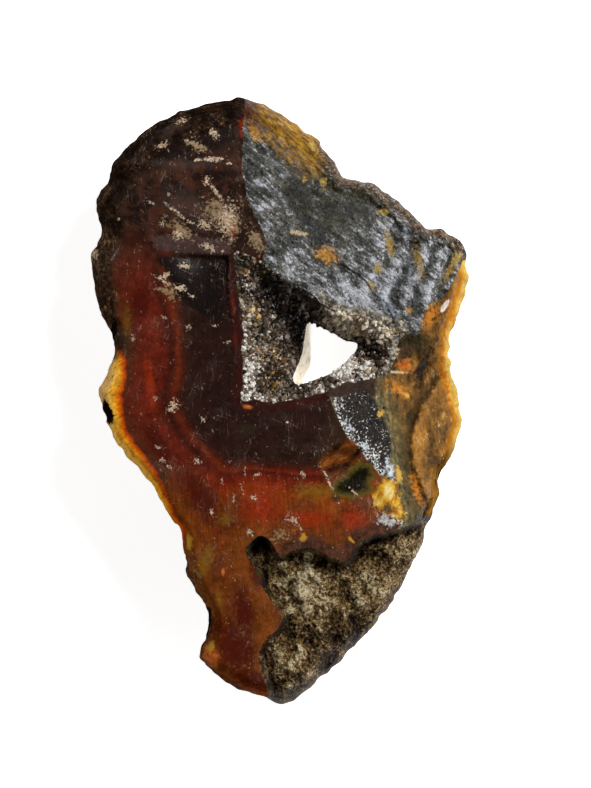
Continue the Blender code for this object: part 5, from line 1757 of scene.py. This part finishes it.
    def back(self, piece: MeshPiece, opening: Array) -> None:
        """Adds the underside, round the opening of the hole."""
        rim = self.outline.loop
        fill = lattice(self.back_spacing, self.back_jitter, self.fill_seed + 3)
        fill = fill[inside(rim, fill) & ~inside(opening, fill)]
        off_opening = clear_of(fill, [ring(opening)], self.opening_clearance)
        fill = fill[off_opening & clear_of(fill, [ring(rim)], self.back_clearance)]
        rows = [row_inside(rim, inset) for inset in self.back_rows]
        xy, triangles = triangulate(rim, opening[:, :2], [], np.concatenate([fill, *rows]))
        zones = self.zones(xy)
        coarse = lumps(xy, self.back_large, 61) + self.back_share * lumps(xy, self.back_small, 62)
        zones["relief"] = coarse / 1.2
        zones["rind"] = np.full(len(xy), 2.0)
        fade = smooth(zones["rim"] / 1.5) * smooth(from_loop(opening, xy))
        z = self.underside.height(self.outline, xy)
        lumpy = z + self.back_lump * coarse * fade * smooth(z / self.back_grown)
        z = np.where(z > self.flat_height, lumpy, z)
        z = on_loops(xy, z, (rim, self.hollow.throat, opening))
        points = np.column_stack([self.wander(xy, zones["rim"]), np.maximum(z, 0)])
        piece.add(points, triangles[:, ::-1], zones, StoneSlot.RIND, True)

    def build(self) -> bpy.types.Object:
        """Builds the stone and dresses it."""
        piece = MeshPiece("agate_stone")
        rings = self.throat_rings()
        self.front(piece)
        self.throat(piece, rings)
        self.back(piece, rings[-1])
        finishes = {
            StoneSlot.CHALCEDONY: BandedChalcedony("banded_chalcedony", 0.16, 0.45, 0.5),
            StoneSlot.GREY: GreyFracture("grey_fracture", 0.5),
            StoneSlot.CLIFF: GlitterCliff(),
            StoneSlot.FLANK: AmberFlank("amber_flank", 0.09),
            StoneSlot.RIND: Rind(),
            StoneSlot.THROAT: ThroatWall(),
            StoneSlot.EDGE: BandedChalcedony("weathered_edge", 0.6, 0.8, 0.0),
            StoneSlot.GREY_RIM: GreyFracture("grey_rim", 0.05),
            StoneSlot.FLANK_RIM: AmberFlank("flank_rim", 0.0),
        }
        made = piece.build([finishes[slot].material() for slot in StoneSlot], self.sharp_angle)
        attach(made, "root")
        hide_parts("agate_nodule")
        return made


@dataclass(frozen=True)
class CrystalSize:
    """One size of crystal: how far apart the crystals stand, their radius, and a seed for their places."""

    spacing: float
    radius: float
    seed: int


@dataclass
class DruseLining:
    """The crust of small quartz crystals that lines the hollow."""

    hollow: Hollow
    sizes: tuple[CrystalSize, ...] = (CrystalSize(0.62, 0.25, 100), CrystalSize(0.34, 0.15, 110))
    # The few large ones stand where the crust is lightest
    large: CrystalSize = CrystalSize(1.2, 0.31, 130)
    large_tone: float = 0.25
    edge_radius: float = 0.2
    sunk: float = 0.3
    steepest: float = 2.6
    layers: int = 3
    sides: int = 6
    lean: float = 0.32
    bare_share: float = 0.75
    # The middle tone, and how far it varies from one crystal to the next and from place to place
    middle_tone: float = 0.38
    tone_spread: float = 0.26
    tone_lumps: float = 0.22
    gold_spread: float = 0.62
    matrix_spacing: float = 0.3
    sharp_angle: float = 30
    # The dark smooth overhang below the grey plane, where few crystals stand
    overhang: tuple[Point, ...] = (
        (-3.3, 19.9), (2.8, 19), (7.8, 12.8), (7.1, 11.3), (2.8, 11.9), (-2.6, 16.6),
    )
    # Where the crystals are lighter or darker, partly their own colour, partly painted light on the walls
    # that face the light and painted shade in recesses and under the overhang: the middle, the radius and by
    # how much
    tones_and_painted_shading: Rows = (
        (-5.2, 13, 1.4, 0.16), (-4.9, 9, 1.7, 0.30), (-4.6, 5.2, 1.8, 0.38), (-4.6, 2, 1.9, 0.40),
        (-1.5, 0.1, 1.1, 0.30), (1.5, 0.3, 1, 0.30), (4.5, 0.7, 1, 0.26), (1, 1.8, 1.2, -0.20),
        (-1.6, 2, 1.2, -0.16), (8.2, 4.4, 1.5, 0.38), (10.2, 4.2, 1.6, 0.44), (12.4, 4.2, 1.6, 0.40),
        (7.2, 12.6, 1.3, 0.50), (8.6, 11.2, 1.6, 0.58), (11, 10.9, 1.9, 0.54), (13.4, 10.2, 1.9, 0.50),
        (15.4, 9.6, 1.4, 0.40), (13, 7.4, 1.6, -0.35), (14.4, 6.6, 1.4, -0.30), (2.4, 12, 1.8, -0.36),
        (3, 9.6, 1, -0.30), (-1, 15, 2.4, -0.30), (1.4, 15.6, 2.6, -0.25), (5, 13.4, 2, -0.20),
        (-1.6, 3.4, 1.8, -0.14),
    )
    # Where golden crystals stand among the grey ones, in the same way
    golden: Rows = (
        (-1.4, 6.4, 1.8, 0.45), (-0.5, 2.8, 1.6, 0.35), (-3.4, 12.6, 1.6, 0.45), (-4, 19.6, 1.6, 0.5),
        (11.2, 10.9, 1, 0.4),
    )

    def bed(self, xy: Array) -> Array:
        """The lumpy surface that the crystals stand on."""
        edges = (self.hollow.mouth, self.hollow.throat)
        from_edge = np.min([from_loop(edge, xy) for edge in edges], axis=0)
        lift = 0.45 * (lumps(xy, 2.6, 94) + 0.6) + 0.28 * (lumps(xy, 1.2, 95) + 0.5)
        return self.hollow.wall(xy) + lift * smooth(from_edge / 1.4)

    def seats(self, size: CrystalSize) -> Array:
        """Where crystals of one size stand, closer in plan where the wall is steep."""
        random = np.random.default_rng(size.seed)
        found = []
        for layer in range(self.layers):
            points = lattice(size.spacing, 0.4, size.seed + 1 + layer)
            points = points[inside(self.hollow.mouth, points) & ~inside(self.hollow.throat, points)]
            shares = self.hollow.between(points)[0]
            points = points[(shares > 0.03) & (shares < 0.97)]
            steepness = 1 / self.hollow.normals(points, self.steepest)[:, 2]
            found.append(points[random.uniform(0, 1, len(points)) < steepness - layer])
        points = np.concatenate(found)
        bare = inside(self.overhang, points) & (random.uniform(0, 1, len(points)) < self.bare_share)
        return points[~bare]

    def crystals(self, piece: MeshPiece, xy: Array, size: float, seed: int) -> None:
        """Adds six-sided crystals, each with its own size, lean and tone.

        Args:
            piece: the piece that they join.
            xy: where they stand.
            size: their usual radius.
            seed: for the random draws.
        """
        random = np.random.default_rng(seed)
        count, sides = len(xy), self.sides
        each = 2 * sides + 1
        lean = self.hollow.normals(xy, self.steepest) + random.normal(0, self.lean, (count, 3))
        up = lean / np.linalg.norm(lean, axis=1)[:, None]
        side = np.cross(up, random.normal(0, 1, (count, 3)))
        side /= np.linalg.norm(side, axis=1)[:, None]
        other = np.cross(up, side)
        radius = size * np.clip(np.exp(random.normal(-0.1, 0.4, count)), 0.4, 1.9)
        body = radius * random.uniform(0.1, 1.3, count) + self.sunk
        tip = radius * random.uniform(0.6, 1.3, count)
        foot = np.column_stack([xy, self.bed(xy)]) - up * self.sunk
        corners = []
        for height in (np.zeros(count), body):
            for k in range(sides):
                turn = math.radians(360 / sides * k)
                out = side * math.cos(turn) + other * math.sin(turn)
                corners.append(foot + up * height[:, None] + out * radius[:, None])
        corners.append(foot + up * (body + tip)[:, None])
        shape = []
        for k in range(sides):
            after = (k + 1) % sides
            above, above_after = sides + k, sides + after
            shape += [(k, after, above), (after, above_after, above), (above, above_after, each - 1)]
        triangles = (np.array(shape)[None] + each * np.arange(count)[:, None, None]).reshape(-1, 3)
        tone = self.middle_tone + self.tone_spread * random.normal(0, 1, count)
        tone += self.tone_lumps * lumps(xy, 1.4, 96)
        tone += sum(mound(xy, *place) for place in self.tones_and_painted_shading)
        gold = self.gold_spread * random.uniform(0, 1, count) ** 2
        gold += sum(mound(xy, *place) for place in self.golden)
        fields = {"tone": np.repeat(np.clip(tone, 0, 1), each), "gold": np.repeat(gold, each)}
        piece.add(np.stack(corners, axis=1).reshape(-1, 3), triangles, fields, 0, False)

    def matrix(self, piece: MeshPiece) -> None:
        """Adds the dark sheet that the crystals grow from."""
        outer = row_inside(self.hollow.mouth, 0.03)
        inner = row_inside(self.hollow.throat, -0.15)
        fill = lattice(self.matrix_spacing, 0.15, 91)
        fill = fill[inside(outer, fill) & ~inside(inner, fill)]
        fill = fill[clear_of(fill, [ring(outer), ring(inner)], 0.15)]
        xy, triangles = triangulate(outer, inner, [], fill)
        z = self.bed(xy) + 0.12 * lumps(xy, 0.8, 92) - 0.05
        # The sheet takes in the same painted light and shade as the crystals
        tone = 0.16 + 0.10 * lumps(xy, 1.0, 93) + 0.4 * sum(mound(xy, *place) for place in self.tones_and_painted_shading)
        fields = {"tone": np.clip(tone, 0, 1), "gold": np.full(len(xy), 0.3)}
        piece.add(np.column_stack([xy, z]), triangles, fields, 0, False)

    def build(self) -> bpy.types.Object:
        """Builds the crust and dresses it."""
        piece = MeshPiece("druse_crust")
        self.matrix(piece)
        for size in self.sizes:
            self.crystals(piece, self.seats(size), size.radius, size.seed + 5)
        seats = self.seats(self.large)
        lightest = sum(mound(seats, *place) for place in self.tones_and_painted_shading) > self.large_tone
        self.crystals(piece, seats[lightest], self.large.radius, self.large.seed + 5)
        edge = row_inside(self.hollow.mouth, 0.14)
        self.crystals(piece, edge, self.edge_radius, 120)
        made = piece.build([DruseCrystal().material()], self.sharp_angle)
        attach(made, "root")
        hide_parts("druse_lining")
        return made


@dataclass
class AreaLamp:
    """A soft square lamp that faces the stone."""

    name: str
    azimuth: float
    height_angle: float
    distance: float
    size: float
    power: float
    colour: tuple[float, float, float] = (1.0, 1.0, 1.0)

    def build(self) -> None:
        """Adds the lamp."""
        lamp = bpy.data.lights.new(self.name, "AREA")
        lamp.size = self.size
        lamp.energy = self.power
        lamp.color = self.colour
        made = bpy.data.objects.new(self.name, lamp)
        turn, rise = math.radians(self.azimuth), math.radians(self.height_angle)
        aim = Vector((math.cos(turn) * math.cos(rise), math.sin(turn) * math.cos(rise), math.sin(rise)))
        made.location = aim * self.distance
        made.rotation_euler = aim.to_track_quat("Z", "Y").to_euler()
        bpy.context.scene.collection.objects.link(made)


@dataclass
class Studio:
    """The plain pale floor, the soft light and the camera that looks straight down."""

    floor_size: float = 4.0
    floor_glow: float = 0.85
    camera_distance: float = 1.5
    plane_height: float = 10.0
    pixels_per_mm: float = 7.0
    picture_height: int = 788
    middle_x: float = 2.18
    middle_y: float = 1.04
    sensor: float = 36.0
    # The sky's light at the horizon and overhead, and how far up it has faded
    horizon: float = 0.2
    overhead: float = 0.03
    sky_rise: float = 0.75
    sky_strength: float = 0.9
    lamps: tuple[AreaLamp, ...] = (
        AreaLamp("key", 42, 48, 0.75, 0.30, 5.8),
        AreaLamp("right_fill", -30, 28, 0.8, 0.5, 1.6),
        AreaLamp("top_fill", 130, 30, 0.8, 0.5, 0.9),
    )

    def floor(self) -> None:
        """Adds the floor, which glows a little so that it stays pale in the stone's shadow."""
        half = self.floor_size / 2
        corners = [(-half, -half, 0), (half, -half, 0), (half, half, 0), (-half, half, 0)]
        mesh = bpy.data.meshes.new("floor")
        mesh.from_pydata(corners, [], [(0, 1, 2, 3)])
        w = Wiring("pale_floor")
        w.finish(
            paint(238, 238, 238), 0.9, None, 0.1, Emission_Color=WHITE, Emission_Strength=self.floor_glow
        )
        mesh.materials.append(w.material)
        made = bpy.data.objects.new("floor", mesh)
        bpy.context.scene.collection.objects.link(made)

    def world(self) -> None:
        """A sky that is pale at the horizon and dark overhead, so that the flat face stays dark."""
        world = bpy.data.worlds.new("studio")
        world.use_nodes = True
        sky = NodeTree(world.node_tree)
        place = sky.node("ShaderNodeTexCoord", {}, {}).outputs["Generated"]
        rise = sky.node("ShaderNodeSeparateXYZ", {}, {"Vector": place}).outputs["Z"]
        values = {"Value": rise, "From Max": self.sky_rise, "To Min": self.horizon, "To Max": self.overhead}
        light = sky.node("ShaderNodeMapRange", {}, values).outputs["Result"]
        background = sky.node("ShaderNodeBackground", {}, {"Color": light, "Strength": self.sky_strength})
        sky.node("ShaderNodeOutputWorld", {}, {"Surface": background.outputs["Background"]})
        bpy.context.scene.world = world

    def camera(self) -> None:
        """Adds the camera over the middle of the picture."""
        seen_height = self.picture_height / self.pixels_per_mm * MM
        lens = bpy.data.cameras.new("camera")
        lens.sensor_width = self.sensor
        lens.lens = self.sensor * self.camera_distance / seen_height
        made = bpy.data.objects.new("camera", lens)
        height = self.plane_height * MM + self.camera_distance
        made.location = (self.middle_x * MM, self.middle_y * MM, height)
        bpy.context.scene.collection.objects.link(made)
        bpy.context.scene.camera = made

    def build(self) -> None:
        """Sets the studio up."""
        self.floor()
        self.world()
        self.camera()
        for lamp in self.lamps:
            lamp.build()
        bpy.context.scene.view_settings.view_transform = "Standard"


def main() -> None:
    """Builds the studio and the two pieces, and reports each."""
    logging.basicConfig(level=logging.INFO, format="%(message)s")
    Studio().build()
    face = BrokenFace()
    hollow = Hollow(face)
    for piece in (AgateNodule(Outline(), face, hollow), DruseLining(hollow)):
        made = piece.build()
        log.info("%s: %d points, %d triangles", made.name, len(made.data.vertices), len(made.data.polygons))


if __name__ == "__main__":
    main()
